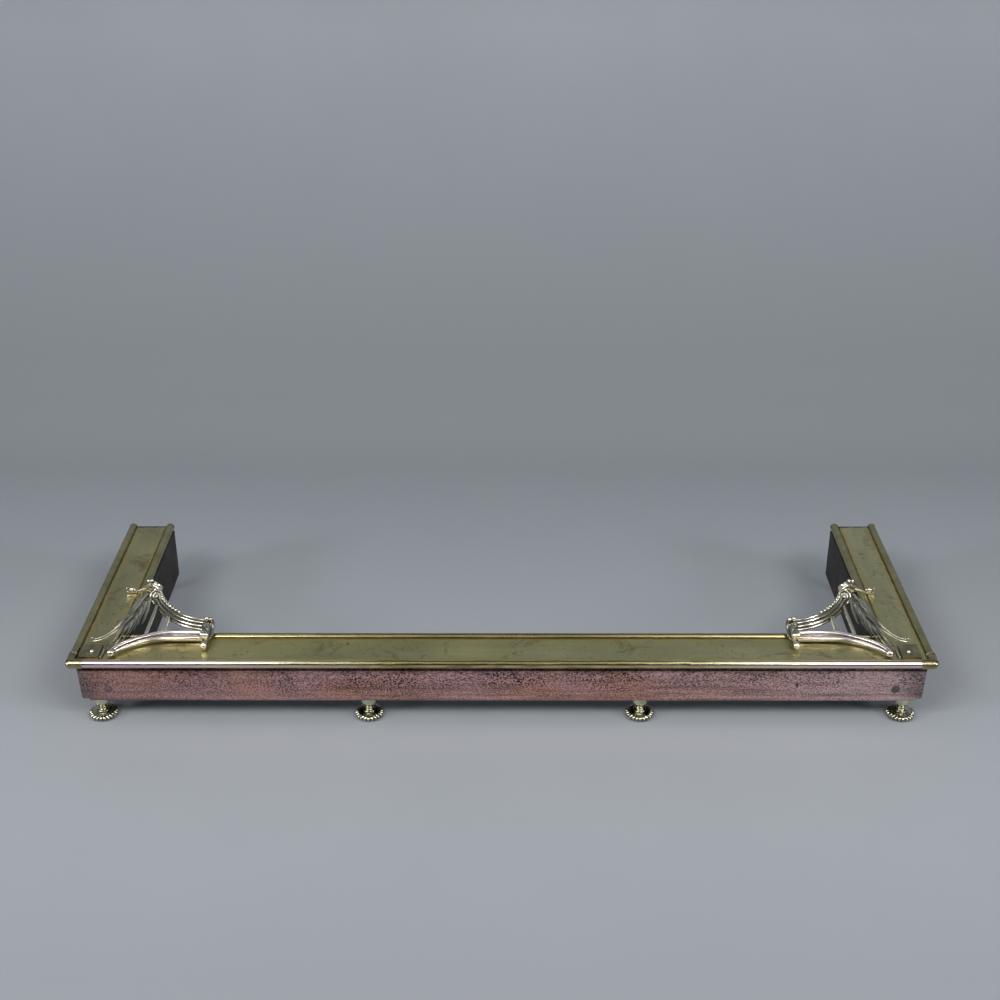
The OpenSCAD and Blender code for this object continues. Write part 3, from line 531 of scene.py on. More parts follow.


# %% [markdown]
# ## Finish: the tubes
# Drawn brass tube, polished where hands and cloths reach. Towards its ends
# the front tube is bright, with a faint pink tint that is a painted
# reflection, and over its middle third it is painted a deep dark gold as a
# painted dark reflection. The dull tubes get painted shade in the inner
# corners, where the castings lie over them.

# %% Tube brass
def tube_brass(name, gold, dull, rosy_share, dark_reflection_share, rough, corner_shade_share=0.0):
    """Drawn tube: a painted pink reflection towards its ends, a painted dark reflection in the
    middle.
    """
    made, tree, shader = start_metal(name)
    x, y, _ = coordinates(tree)
    from_middle = maths(tree, "ABSOLUTE", x)
    drift = clouds(tree, Stretch=(0.3, 1, 1), Scale=14.0, Low=0.35, High=0.6)
    dents = clouds(tree, Stretch=(0.35, 1, 1), Scale=26.0, Low=0.4, High=0.75)
    broken = clouds(tree, Stretch=(0.2, 1, 1), Scale=120.0, Low=0.42, High=0.6)
    dots = specks(tree, Scale=260.0, Size=0.3, Gather=0.5)
    wander = maths(tree, "ADD", from_middle, product(tree, drift, 0.08))
    # Painted reflection: a pink tint towards the ends of the tube.
    painted_pink_reflection = product(tree, ramp(tree, wander, 0.34, 0.50, 0.0, rosy_share), drift)
    # Painted dark reflection: the middle third of the tube is darkened to a deep gold.
    painted_dark_reflection = ramp(tree, wander, 0.22, 0.40, dark_reflection_share, 0.0)
    # Broken patches of grime, stronger where the painted dark reflection lies.
    grime_and_dark_reflection = product(tree, broken, ramp(tree, painted_dark_reflection, 0.0, 1.0, 0.15, 0.7))
    # Painted shade on the inner tubes near the corners, where the castings lie over them.
    corner = product(
        tree,
        ramp(tree, from_middle, 0.47, 0.505, 0.0, corner_shade_share),
        ramp(tree, from_middle, 0.565, 0.585, 1.0, 0.0),
        ramp(tree, y, -0.11, -0.09, 1.0, 0.0),
    )
    colour = layered(
        tree, gold,
        (dull, dents),
        ((0.88, 0.62, 0.72, 1), painted_pink_reflection),
        ((0.60, 0.50, 0.20, 1), painted_dark_reflection),
        ((0.17, 0.13, 0.05, 1), grime_and_dark_reflection),
        ((0.05, 0.035, 0.02, 1), dots, 0.7),
        ((0.06, 0.05, 0.03, 1), corner),
    )
    roughness = ramp(tree, grime_and_dark_reflection, 0.0, 0.7, rough, rough + 0.2)
    finished(tree, shader, colour, roughness, dents, 0.12, 0.0008)
    return made


front_tube_brass = tube_brass(
    "front_tube_brass", (0.90, 0.84, 0.62, 1), (0.74, 0.68, 0.46, 1), 0.9, 0.9, 0.13
)
dull_tube_brass = tube_brass(
    "dull_tube_brass", (0.46, 0.41, 0.21, 1), (0.28, 0.25, 0.13, 1), 0.0, 0.3, 0.2, 0.9
)

# %% [markdown]
# ## Finish: the castings and feet
# Cast brass is bright on everything that a cloth touches and nearly black in
# its hollows, where its tarnish is deepened with painted shade. Its edges get
# painted highlights over their polished wear. The hollow mask does most of
# the work, and a light bump gives the soft unevenness of sand casting.


# %% Cast brass
def cast_brass(name, bright, dull, hollow_share, rough, edge_share=0.5, reach=0.006):
    """Cast brass with tarnish and painted shade in its hollows, and painted highlights on its worn
    edges.
    """
    made, tree, shader = start_metal(name)
    hollow_and_edge_masks = place_group(tree, hollow_and_edge_group, Hollow_Reach=reach, Edge_Width=0.0007).outputs
    tarnish_and_painted_lilac = clouds(tree, Scale=60.0, Low=0.38, High=0.72)
    skin = clouds(tree, Scale=300.0, Low=0.3, High=0.8)
    colour = layered(
        tree, bright,
        (dull, tarnish_and_painted_lilac),
        # Tarnish in the hollows, deepened with painted shade.
        ((0.035, 0.028, 0.016, 1), hollow_and_edge_masks["Hollow"], hollow_share),
        # Painted highlights along the edges, over their polished wear.
        ((0.95, 0.90, 0.70, 1), hollow_and_edge_masks["Edge"], edge_share),
    )
    patches_and_hollows = maths(tree, "ADD", tarnish_and_painted_lilac, hollow_and_edge_masks["Hollow"])
    roughness = ramp(tree, patches_and_hollows, 0.0, 2.0, rough, rough + 0.3)
    finished(tree, shader, colour, roughness, skin, 0.10, 0.0004)
    return made


bright_casting = cast_brass(
    "bright_casting", (0.95, 0.91, 0.80, 1), (0.66, 0.61, 0.46, 1), 0.93, 0.14, 0.6, 0.004
)
# On the smooth arm the dull patches are lilac, a painted reflection of the floor.
arm_brass = cast_brass(
    "arm_brass", (0.95, 0.89, 0.83, 1), (0.78, 0.65, 0.69, 1), 0.9, 0.16, 0.3, 0.004
)
# The leaf gets painted shade in its gaps and the full share of painted highlights on its edges.
leaf_casting = cast_brass(
    "leaf_casting", (0.94, 0.90, 0.76, 1), (0.40, 0.37, 0.26, 1), 0.98, 0.14, 1.0, 0.005
)
foot_brass = cast_brass("foot_brass", (0.74, 0.71, 0.55, 1), (0.34, 0.32, 0.21, 1), 0.93, 0.13)
dark_bronze = cast_brass("dark_bronze", (0.42, 0.37, 0.22, 1), (0.20, 0.17, 0.10, 1), 0.85, 0.24)


# %% [markdown]
# ## Finish: the copper fascia
# The copper has a mauve-pink skin, closely figured with fine dark flecks and
# worms, with lengthwise streaks from rolling and wiping. The band under the
# tube is dark with painted shadow of the tube over some patina, and the
# corners and the lower edge are darker. The copper is darker towards the
# left, and lighter and pinker towards the right. A scratch crosses the
# middle, and one deep spot is left near the right end.

# %% Marks on the copper
scratch_x, scratch_z = 0.018, 0.088
spot_x, spot_z = 0.4275, 0.070


def scratch_mask(tree, x, z):
    """High along one short slanting line."""
    along = maths(tree, "SUBTRACT", x, scratch_x)
    slant = product(tree, along, 1.5)
    across = maths(tree, "ADD", maths(tree, "SUBTRACT", z, scratch_z), slant)
    thin = ramp(tree, maths(tree, "ABSOLUTE", across), 0.0008, 0.0030, 0.9, 0.0)
    short = ramp(tree, maths(tree, "ABSOLUTE", along), 0.010, 0.014, 1.0, 0.0)
    return product(tree, thin, short)


def spot_mask(tree, x, z):
    """High inside one small upright oval."""
    beside = maths(tree, "SUBTRACT", x, spot_x)
    above = product(tree, maths(tree, "SUBTRACT", z, spot_z), 0.5)
    offset = add(tree, "CombineXYZ", {0: beside, 2: above}).outputs[0]
    far = add(tree, "VectorMath", {0: offset}, operation="LENGTH").outputs["Value"]
    return ramp(tree, far, 0.0012, 0.0030, 0.9, 0.0)


# %% Fascia copper
def fascia_copper(name, pink, orange):
    """Patinated copper sheet."""
    made, tree, shader = start_metal(name)
    x, _, z = coordinates(tree)
    zones = clouds(tree, Stretch=(0.4, 0.4, 1.2), Scale=11.0, Low=0.40, High=0.60)
    where = clouds(tree, Stretch=(0.5, 0.5, 1), Scale=20.0, Roughness=0.65, Low=0.36, High=0.60)
    flecks = clouds(
        tree, Stretch=(0.75, 0.75, 1), Scale=560.0,
        Roughness=0.35, Distortion=0.4, Low=0.49, High=0.55,
    )
    streaks = clouds(tree, Stretch=(0.04, 0.04, 1), Scale=150.0, Low=0.45, High=0.68)
    blots = clouds(tree, Stretch=(0.4, 0.4, 1), Scale=26.0, Roughness=0.7, Low=0.56, High=0.68)
    worms = place_group(tree, worms_group, Scale=270.0, Curl=1.5, Width=0.030).outputs[0]
    figure = product(
        tree,
        maths(tree, "MAXIMUM", worms, flecks),
        ramp(tree, where, 0.0, 1.0, 0.5, 1.0),
        ramp(tree, z, 0.045, 0.070, 0.6, 1.0),
    )
    ragged = product(tree, maths(tree, "SUBTRACT", where, 0.5), 0.007)
    # Painted shadow of the tube on the band under it, over some patina.
    shadow_under_tube = ramp(tree, maths(tree, "ADD", z, ragged), 0.088, 0.101)
    from_middle = maths(tree, "ADD", maths(tree, "ABSOLUTE", x), product(tree, ragged, 3.0))
    colour = layered(
        tree, pink,
        (orange, zones),
        ((0.98, 0.72, 0.74, 1), ramp(tree, x, 0.15, 0.52, 0.0, 0.75)),
        ((0.42, 0.28, 0.29, 1), ramp(tree, x, -0.60, -0.30, 0.35, 0.0)),
        ((0.27, 0.16, 0.15, 1), streaks, ramp(tree, z, 0.055, 0.085, 0.75, 0.3)),
        ((0.19, 0.15, 0.17, 1), blots, 0.55),
        ((0.050, 0.030, 0.034, 1), figure),
        ((0.06, 0.055, 0.055, 1), shadow_under_tube, 0.8),
        ((0.12, 0.09, 0.085, 1), ramp(tree, z, 0.0405, 0.046, 0.5, 0.0)),
        ((0.12, 0.095, 0.085, 1), ramp(tree, from_middle, 0.572, 0.612, 0.0, 0.5)),
        ((0.04, 0.03, 0.03, 1), scratch_mask(tree, x, z), where),
        ((0.03, 0.02, 0.025, 1), spot_mask(tree, x, z)),
    )
    roughness = ramp(tree, figure, 0.0, 1.0, 0.40, 0.62)
    height = maths(tree, "SUBTRACT", 1.0, figure)
    finished(tree, shader, colour, roughness, height, 0.3, 0.0004)
    return made


front_copper = fascia_copper("front_copper", (0.84, 0.50, 0.50, 1), (0.84, 0.45, 0.34, 1))
wrap_copper = fascia_copper("wrap_copper", (0.84, 0.56, 0.55, 1), (0.76, 0.50, 0.43, 1))

# %% [markdown]
# ## Finish: the fascia rivets
# The rivet on the left has the copper's colour, only darker. The one on the
# right was renewed in iron.

# %% Rivet finish
rivet_finish, tree, shader = start_metal("fascia_rivet_metal", 0.8)
to_the_right = ramp(tree, coordinates(tree)[0], -0.1, 0.1)
grime = clouds(tree, Scale=220.0, Low=0.4, High=0.65)
colour = layered(
    tree, (0.27, 0.17, 0.165, 1),
    ((0.17, 0.145, 0.145, 1), to_the_right),
    ((0.05, 0.04, 0.04, 1), grime, 0.5),
)
tree.links.new(colour, shader.inputs["Base Color"])
shader.inputs["Roughness"].default_value = 0.5

# %% [markdown]
# ## Finish: the iron
# Sheet iron that faces a fire is black with soot and dull, with rust where
# ash has lain against its lower edge. Iron is a metal, but its soot isn't,
# so Metallic stays low.

# %% Sooty iron
def sooty_iron(name, rust_share):
    """Blackened sheet iron with rust low down."""
    made, tree, shader = start_metal(name, 0.15)
    z = coordinates(tree)["Z"]
    soot = clouds(tree, Scale=22.0, Low=0.35, High=0.7)
    runs = clouds(tree, Stretch=(1, 1, 0.25), Scale=40.0, Roughness=0.7, Low=0.5, High=0.7)
    grain = clouds(tree, Scale=400.0, Low=0.3, High=0.8)
    rust = product(tree, runs, ramp(tree, z, 0.03, 0.075, 1.0, 0.25), rust_share)
    colour = layered(
        tree, (0.018, 0.017, 0.015, 1),
        ((0.042, 0.040, 0.036, 1), soot),
        ((0.13, 0.055, 0.030, 1), rust),
    )
    shader.inputs["Specular IOR Level"].default_value = 0.25
    roughness = ramp(tree, rust, 0.0, 1.0, 0.6, 0.85)
    finished(tree, shader, colour, roughness, grain, 0.25, 0.0004)
    return made


liner_iron = sooty_iron("liner_iron", 0.5)
rusty_iron = sooty_iron("rusty_iron", 1.0)
strap_iron = sooty_iron("strap_iron", 0.35)

# %% [markdown]
# ## Finish: the paper sweep
# A matt grey-blue with the faintest unevenness, so that it doesn't look like
# a void. It is a little darker towards the fold, and again towards the
# camera, where less of the light reaches. Its back can be seen through, so
# that the fender can also be looked at from behind.

# %% Paper
paper, tree, shader = start_metal("backdrop_paper", 0.0)
_, y, z = coordinates(tree)
uneven = clouds(tree, Scale=3.0, Low=0.3, High=0.7)
towards_fold = product(tree, ramp(tree, y, -0.5, 0.9), ramp(tree, z, 0.1, 0.7, 1.0, 0.15))
near_camera = ramp(tree, y, -0.70, -0.25, 0.85, 0.0)
colour = layered(
    tree, (0.400, 0.430, 0.465, 1),
    ((0.425, 0.455, 0.490, 1), uneven),
    ((0.255, 0.275, 0.300, 1), towards_fold),
    ((0.335, 0.360, 0.390, 1), near_camera),
)
tree.links.new(colour, shader.inputs["Base Color"])
shader.inputs["Roughness"].default_value = 0.8
shader.inputs["Specular IOR Level"].default_value = 0.2

# %% Its back, seen through
clear = add(tree, "BsdfTransparent").outputs[0]
back = add(tree, "NewGeometry").outputs["Backfacing"]
sides = add(tree, "MixShader", {0: back, 1: shader.outputs[0], 2: clear})
tree.links.new(sides.outputs[0], tree.nodes["Material Output"].inputs["Surface"])
sweep.data.materials.append(paper)

# %% [markdown]
# ## Dress the CAD pieces
# A CAD node keeps its mesh and only gets a better material, in every slot.

# %% Materials on the CAD nodes
finish_of = {
    "front_top_plate": front_rail_brass,
    "front_outer_bead": front_tube_brass,
    "front_inner_bead": dull_tube_brass,
    "front_fascia": front_copper,
    "front_liner": liner_iron,
    "left_liner": liner_iron,
    "right_liner": rusty_iron,
    "pad_rivets": bright_casting,
}
in_pairs = {
    side_rail_brass: ("top_plate",),
    dull_tube_brass: ("outer_bead", "inner_bead"),
    dark_bronze: ("corner_cap", "bead_tips", "corner_pad"),
    front_copper: ("fascia",),
    wrap_copper: ("corner_wrap",),
    rivet_finish: ("fascia_rivets",),
    foot_brass: ("front_foot", "mid_foot", "rear_foot"),
    bright_casting: ("smooth_arm", "leaf_arm", "fluted_arch", "front_scroll", "side_scroll"),
}
for finish, names in in_pairs.items():
    for name in names:
        finish_of["left_" + name] = finish_of["right_" + name] = finish
for name, node in nodes.items():
    for slot in node.material_slots:
        slot.material = finish_of.get(name, strap_iron)

# %% [markdown]
# ## Castings built up from strands
# A pattern maker builds leafage from tapered strips of wax, pressed together
# before the mould is made. A curve can do the same work: a path carries an
# outline along, and the radius at each of its points swells or thins the
# strip. Each strip then becomes a mesh and is joined to the rest.
#
# Places on the left casting are given in millimetres: inwards from the side,
# inwards from the front, and up from the plates. The right one is a mirror
# image, set a little further in from its corner.

# %% Places on a casting
right_shift = (right_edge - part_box("right_corner_pad")[1].x) - (
    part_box("left_corner_pad")[0].x - left_edge
)


def on_casting(u, v, h):
    """A place on the left casting, from millimetres."""
    return Vector((left_edge + u / 1000, front_edge + v / 1000, rail_top + h / 1000))


# %% Outlines for the strips
def outline(name, corners):
    """A closed outline whose half width is one millimetre."""
    flat = bpy.data.curves.new(name, "CURVE")
    flat.dimensions = "2D"
    spline = flat.splines.new("POLY")
    spline.points.add(len(corners) - 1)
    for point, (across, up) in zip(spline.points, corners):
        point.co = (across / 1000, up / 1000, 0, 1)
    spline.use_cyclic_u = True
    made = bpy.data.objects.new(name, flat)
    bpy.context.scene.collection.objects.link(made)
    return made


def ring_of(count, depth=0.0):
    """A circle of points; every other one can be drawn in, for flutes."""
    points = []
    for k in range(count):
        turn, reach = 2 * math.pi * k / count, 1 - depth * (k % 2)
        points.append((reach * math.cos(turn), reach * math.sin(turn)))
    return points


round_outline = outline("round_outline", ring_of(12))
husk_outline = outline("husk_outline", ring_of(20, 0.2))
leaf_outline = outline("leaf_outline", [
    (-1, -0.2), (-0.9, 0.14), (-0.62, 0.06), (-0.3, 0.16), (0, 0.5), (0.3, 0.16),
    (0.62, 0.06), (0.9, 0.14), (1, -0.2), (0.4, -0.4), (-0.4, -0.4),
])
bar_outline = outline("bar_outline", [
    (-1, -0.5), (-1, 0.42), (-0.8, 0.6), (-0.4, 0.6), (-0.2, 0.3), (0.2, 0.3),
    (0.4, 0.6), (0.8, 0.6), (1, 0.42), (1, -0.5),
])


# %% Strips
def strand(shape, stops, twist="Z_UP", steps=6):
    """Carries an outline along a path; a stop is u, v, h and the half width."""
    select_only()
    bpy.ops.curve.primitive_bezier_curve_add()
    path = bpy.context.object.data
    path.dimensions = "3D"
    path.twist_mode = twist
    path.resolution_u = steps
    path.bevel_mode = "OBJECT"
    path.bevel_object = shape
    path.use_fill_caps = True
    points = path.splines[0].bezier_points
    points.add(len(stops) - len(points))
    for point, (u, v, h, half) in zip(points, stops):
        point.co = on_casting(u, v, h)
        point.handle_left_type = point.handle_right_type = "AUTO"
        point.radius = half
    bpy.ops.object.convert(target="MESH")
    return bpy.context.object


def turned(stops):
    """A round strand with few steps, for balls and collars."""
    return strand(round_outline, stops, "MINIMUM", 3)


# %% Joining strips, and mirror copies
sharpest_smooth = math.radians(50)


def one_casting(name, strips):
    """Joins strips into one piece with clean, outward surfaces."""
    select_only(*strips)
    bpy.ops.object.join()
    piece = newest(name)
    edit_everything()
    bpy.ops.mesh.remove_doubles(threshold=0.000005)
    bpy.ops.mesh.normals_make_consistent(inside=False)
    object_mode()
    bpy.ops.object.shade_smooth_by_angle(angle=sharpest_smooth)
    return piece


def mirror_copy(piece, name):
    """The right-hand casting from the left-hand one."""
    select_only(piece)
    bpy.ops.object.duplicate()
    twin = newest(name)
    edit_everything()
    bpy.ops.transform.resize(value=(-1, 1, 1), center_override=(0, 0, 0))
    bpy.ops.transform.translate(value=(-right_shift, 0, 0))
    bpy.ops.mesh.normals_make_consistent(inside=False)
    object_mode()
    return twin


def put_in_place(piece, node, finish):
    """Lets a piece stand for a CAD node, with its finish."""
    piece.data.materials.clear()
    piece.data.materials.append(finish)
    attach(piece, "root")
    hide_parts(node)
    print(piece.name, "has", len(piece.data.polygons), "faces")


def both_castings(name, strips, finish=bright_casting):
    """Makes a casting piece on the left and its mirror copy on the right."""
    left = one_casting("left_" + name + "_casting", strips)
    right = mirror_copy(left, "right_" + name + "_casting")
    put_in_place(left, "left_" + name, finish)
    put_in_place(right, "right_" + name, finish)


# %% [markdown]
# ## The acanthus arm
# A stem runs from the husk behind the arch down to the corner plate, with
# fronds on both sides that lie over each other like barbs of a feather. Each
# frond swells from its root, lifts, and dips to a thin tip. Those on the
# outer side reach over the side rail, and those on the inner side hang over
# the liner.

# %% The stem and its fronds
stem = [
    (88.6, 190, 10.6, 3.2), (86, 182, 10.2, 3.0), (83, 166, 11, 2.9), (80, 148, 11.5, 2.7),
    (77, 128, 11.5, 2.5), (74, 108, 11.5, 2.3), (70, 88, 11, 2.1), (64, 69, 8, 1.9),
    (57, 55, 4.6, 1.7), (52.5, 46, 2.6, 1.2),
]
outer_fronds = [
    [(83, 172, 12, 1.3), (75, 152, 15.5, 2.5), (68, 131, 12, 1.9), (64, 116, 7, 0.9)],
    [(82, 160, 12.5, 1.3), (73, 138, 16, 2.7), (66, 116, 12.5, 2.0), (61, 101, 7, 0.9)],
    [(80, 146, 12.5, 1.3), (71, 122, 16, 2.7), (62, 101, 12, 2.1), (55, 88, 6.5, 0.9)],
    [(78, 130, 12.5, 1.3), (68, 107, 15.5, 2.7), (58, 88, 11.5, 2.1), (48, 77, 6, 0.9)],
    [(75, 112, 12, 1.4), (64, 90, 14, 2.6), (51, 74, 9.5, 2.2), (38, 66, 5.2, 1.6),
     (28, 63, 3.6, 0.9)],
    [(72, 96, 12, 1.4), (61, 76, 12, 2.4), (47, 63, 7.5, 2.1), (34, 57.5, 4.4, 1.7),
     (25, 58, 3.6, 1.3), (21.5, 62, 3.8, 1.1), (24.5, 65, 4.4, 0.9), (28, 63, 4.8, 0.4)],
]
inner_fronds = [
    [(87, 176, 12, 1.3), (91, 154, 15, 2.5), (92.5, 128, 13, 3.3), (91, 105, 8.2, 1.6),
     (90, 100, 7, 0.9)],
    [(85, 162, 12.5, 1.3), (88, 138, 15.5, 2.6), (87, 115, 12, 2.1), (84.5, 97, 7, 0.9)],
    [(82, 146, 12.5, 1.3), (85, 122, 15.5, 2.6), (84, 99, 11.5, 2.1), (81.5, 82, 6.6, 0.9)],
    [(80, 130, 12.5, 1.3), (82, 107, 15, 2.6), (80, 86, 11, 2.1), (77, 69, 6, 0.9)],
    [(77, 112, 12, 1.3), (78, 91, 14, 2.5), (75, 70, 10, 2.0), (70.5, 56, 5, 0.9)],
    [(74, 96, 11.5, 1.3), (72, 77, 12.5, 2.3), (67, 59, 8, 1.8), (61.5, 47, 3.6, 0.9)],
]
upper_fronds = [
    [(86, 182, 13, 1.4), (83, 163, 17.5, 2.4), (79, 143, 17, 2.2), (75, 124, 13, 0.5)],
    [(81, 150, 14, 1.3), (77, 128, 17.5, 2.4), (72, 107, 15.5, 2.0), (67, 91, 11, 0.4)],
    [(77, 118, 14, 1.3), (72, 98, 16, 2.3), (65, 80, 12.5, 1.8), (59, 67, 7.5, 0.4)],
]
beside_pad = [
    (60, 62, 6, 1.3), (52, 50, 5, 1.7), (48.2, 38, 3, 1.6), (48, 28, 2.2, 1.5),
    (47.4, 19, 1.9, 1.3),
]

# %% The arm from its fronds
slimmer = 0.78

leaf_strips = [strand(round_outline, stem)]
for frond in outer_fronds + inner_fronds + upper_fronds:
    stops = [(u, v, h, half * slimmer) for u, v, h, half in frond]
    leaf_strips.append(strand(leaf_outline, stops))
leaf_strips.append(strand(leaf_outline, beside_pad))
both_castings("leaf_arm", leaf_strips, leaf_casting)

# %% [markdown]
# ## The smooth arm
# Three reeds lie side by side on a web: a broad bright one, a thin one along
# its rear edge and a lower one in front, with a deep groove between. They
# spread where they leave the husk, draw together towards the corner, and wind
# round a small ball that stands on the rail.

# %% Reeds of the smooth arm
broad_arm_reed = [
    (187.5, 69.4, 10.2, 3.8), (169.2, 70.8, 10.4, 4.0), (154.4, 71.0, 10.4, 3.9),
    (136.4, 69.4, 10.5, 3.4), (118.9, 65.6, 10.4, 2.6), (103.2, 59.4, 10, 2.3),
    (91.1, 53.5, 9.6, 2.1), (80.5, 46.1, 9.2, 2.0), (70.4, 37.3, 8.6, 1.9),
    (64.2, 29.8, 7.6, 1.6),
]
rear_arm_reed = [
    (152, 71.4, 11.4, 1.6), (144, 72.2, 11.8, 1.9), (132.2, 71.2, 11.8, 2.0),
    (118.6, 68.2, 11.4, 1.9), (102.7, 61.8, 10.9, 1.8), (90.7, 55.4, 10.5, 1.7),
    (79.8, 48.9, 9.9, 1.7), (69.5, 40.6, 9.2, 1.6), (62.4, 32.4, 8.4, 1.6),
    (58.2, 26.2, 7.2, 1.5), (56.6, 22.4, 5.4, 1.3), (58.4, 19.6, 3.4, 1.0),
]
front_arm_reed = [
    (187, 60.6, 7.8, 2.9), (171.3, 59.8, 7.8, 2.9), (156.7, 59.2, 7.8, 2.8),
    (138.4, 59.0, 7.9, 2.5), (120.3, 57.6, 8, 1.9), (108.9, 54.2, 8, 1.8),
    (98.1, 48.6, 7.8, 1.7), (89.3, 43.2, 7.4, 1.7), (79.5, 37.2, 7, 1.6),
    (70.3, 30.6, 6.6, 1.5), (66.2, 26.6, 6, 1.2),
]
arm_web = [
    (187, 65.5, 5.6, 6.0), (154, 65.6, 5.6, 6.1), (136.4, 64.4, 5.6, 5.4),
    (119, 61.2, 5.6, 4.6), (103, 55.2, 5.4, 3.6), (90, 48.2, 5.2, 3.0),
    (79.6, 41.8, 5, 2.6), (70, 34, 4.8, 2.2), (64.8, 28, 4.6, 1.6),
]
arm_ball = [(61.8, 22.8, h, half) for h, half in (
    (12.6, 1.0), (11.8, 3.0), (10, 5.2), (7.4, 6.3), (5, 6.1), (2.6, 4.6), (1.2, 3.0), (0.4, 2.6)
)]
arm_strips = [
    strand(round_outline, reed) for reed in (broad_arm_reed, rear_arm_reed, front_arm_reed)
]
arm_strips += [strand(bar_outline, arm_web), turned(arm_ball)]
both_castings("smooth_arm", arm_strips, arm_brass)

# %% [markdown]
# ## The fluted arch
# The arch is a quarter ring. Four reeds with deep grooves between them run
# side by side up its sloping face, on two thicker ones that close it at the
# back. The two lower reeds run on into a scroll that faces the room, and a
# row of small leaves curls up from the crest. Two grooved ribs tie the arch
# to the smooth arm.

# %% Places on the arch and on its scroll
arch_centre = (215, 206)


def arch_stop(angle, radius, height, half):
    """A stop on a ring about the arch's centre."""
    turn = math.radians(angle)
    u = arch_centre[0] + radius * math.cos(turn)
    v = arch_centre[1] + radius * math.sin(turn)
    return (u, v, height, half)


def arc(radius, height, half, *ends):
    """Stops along the ring; ends of its own come in place of the last stop."""
    angles = (257, 249, 241, 233, 225, 217, 210) + (() if ends else (204,))
    stops = [(angle, radius, height, half) for angle in angles]
    return [arch_stop(*stop) for stop in (*stops, *ends)]


scroll_centre = Vector((99, 167, 13.5))
scroll_right = Vector((0.978, 0.208, 0))
scroll_up = Vector((-0.134, 0.629, 0.766))
scroll_out = scroll_right.cross(scroll_up)


def scroll_stop(angle, radius, half, lift=0.0):
    """A stop on the tilted face of the scroll."""
    turn = math.radians(angle)
    place = scroll_centre + radius * (math.cos(turn) * scroll_right + math.sin(turn) * scroll_up)
    place += scroll_out * lift
    return (*place, half)


# %% Reeds of the arch
scroll_spiral = (
    (180, 9.4, 1.8), (125, 9.4, 1.7), (70, 9.2, 1.6), (15, 8.4, 1.5), (-40, 7.4, 1.4, 0.3),
    (-95, 6.4, 1.3, 0.6), (-150, 5.4, 1.2, 0.9), (-205, 4.6, 1.1, 1.2), (-260, 3.8, 1.0, 1.5),
)
inner_spiral = ((172, 5.8, 1.7), (125, 6.0, 1.1), (90, 6.0, 0.5))
reeds = [
    arc(126, 6.6, 2.2) + [scroll_stop(*stop) for stop in scroll_spiral],
    arc(122.8, 10.2, 2.8) + [scroll_stop(*stop) for stop in inner_spiral],
    arc(119.2, 14.2, 2.6, (203, 118.6, 14.6, 1.8), (198, 118.6, 15.0, 1.2)),
    arc(116.6, 17.4, 1.6, (202, 115.6, 17.6, 1.5), (196, 113.6, 16.6, 1.2)),
    arc(121.6, 7.6, 2.8, (199, 121, 9, 2.4)),
    arc(
        117.8, 12.2, 3.0,
        (192, 117.8, 12, 3.6), (188, 117.6, 12.2, 3.8), (184.4, 117.4, 12.2, 4.0),
    ),
]
arch_strips = [strand(round_outline, reed, steps=5) for reed in reeds]
button = ((-4, 7.8), (-1.4, 8.2), (0, 7.2), (0.8, 2.5), (3.4, 2.5), (4.6, 1.2))
button_stops = [(*(scroll_centre + scroll_out * lift), half) for lift, half in button]
arch_strips.append(strand(round_outline, button_stops, "MINIMUM"))

# %% Leaves on the crest, and the ribs
for k in range(8):
    a = 206 + 3.9 * k
    size = 1.0 - 0.05 * k
    leaf = [
        arch_stop(a, 117.4, 16.6, 1.3 * size), arch_stop(a - 0.8, 116.4, 20.2, 2.2 * size),
        arch_stop(a - 2.2, 114.4, 21.4, 1.6 * size), arch_stop(a - 3.4, 112.8, 20, 0.4),
    ]
    arch_strips.append(strand(leaf_outline, leaf, "MINIMUM", 4))
for u, near, far, half in ((103, 67.2, 149, 2.4), (127, 69, 116, 3.3)):
    rib = [(u, near, 9.4, half), (u, (near + far) / 2, 9.2, half), (u, far, 9.0, half)]
    arch_strips.append(strand(bar_outline, rib))
both_castings("fluted_arch", arch_strips)

# %% [markdown]
# ## The arch's two ends
# Over the front rail the arch ends in a ridged husk with two knobs on top. A
# strap curls down its outer side to a small ball that stands on the plate.
# Over the side rail a thinner strap hooks round a ball, and two small knobs
# sit on a stalk above the husk. A knob is a very short strand whose half
# width swells and shrinks, the way a turner cuts it.

# %% Knobs
knob_cuts = (
    (-1.5, 0.45), (-1.05, 0.42), (-0.9, 0.62), (-0.5, 0.92),
    (0, 1.0), (0.5, 0.86), (0.86, 0.5), (1.0, 0.08),
)


def knob(place, along, size):
    """A turned ball on a short neck, that points along a direction."""
    base, aim = Vector(place), Vector(along).normalized()
    return turned([(*(base + aim * size * d), size * r) for d, r in knob_cuts])


# %% Over the front rail
upper_collar = [
    (186.4, 88.0, 11.8, 6.4), (187.6, 87.8, 11.8, 7.7), (189, 87.5, 11.8, 7.0),
    (190.6, 87.1, 11.8, 7.7), (192.6, 86.6, 11.8, 5.8), (193.8, 86.2, 11.8, 2),
]
husk = [
    (190.5, 89, 15.5, 4.4), (191.4, 84, 14.6, 7.0), (192, 77, 13, 8.0),
    (192.2, 70, 10.6, 6.4), (192.4, 64, 8.4, 4.6), (192.6, 59, 7, 2.6),
]
strap = [
    (191, 92, 17, 1.6), (195.6, 91, 20.2, 2.4), (199.4, 84, 18.6, 2.6), (200.4, 74, 13.6, 2.6),
    (198.4, 63, 9.2, 2.4), (195, 54, 7.6, 2.1), (192.4, 47.5, 8.2, 1.7), (191.8, 43, 9.4, 1.2),
]
arm_collar = [(u, 64, 10.2, half) for u, half in (
    (184.4, 5.2), (185.2, 6.4), (186.8, 5.7), (188.4, 6.3), (190.8, 5.0), (194.6, 3.2)
)]
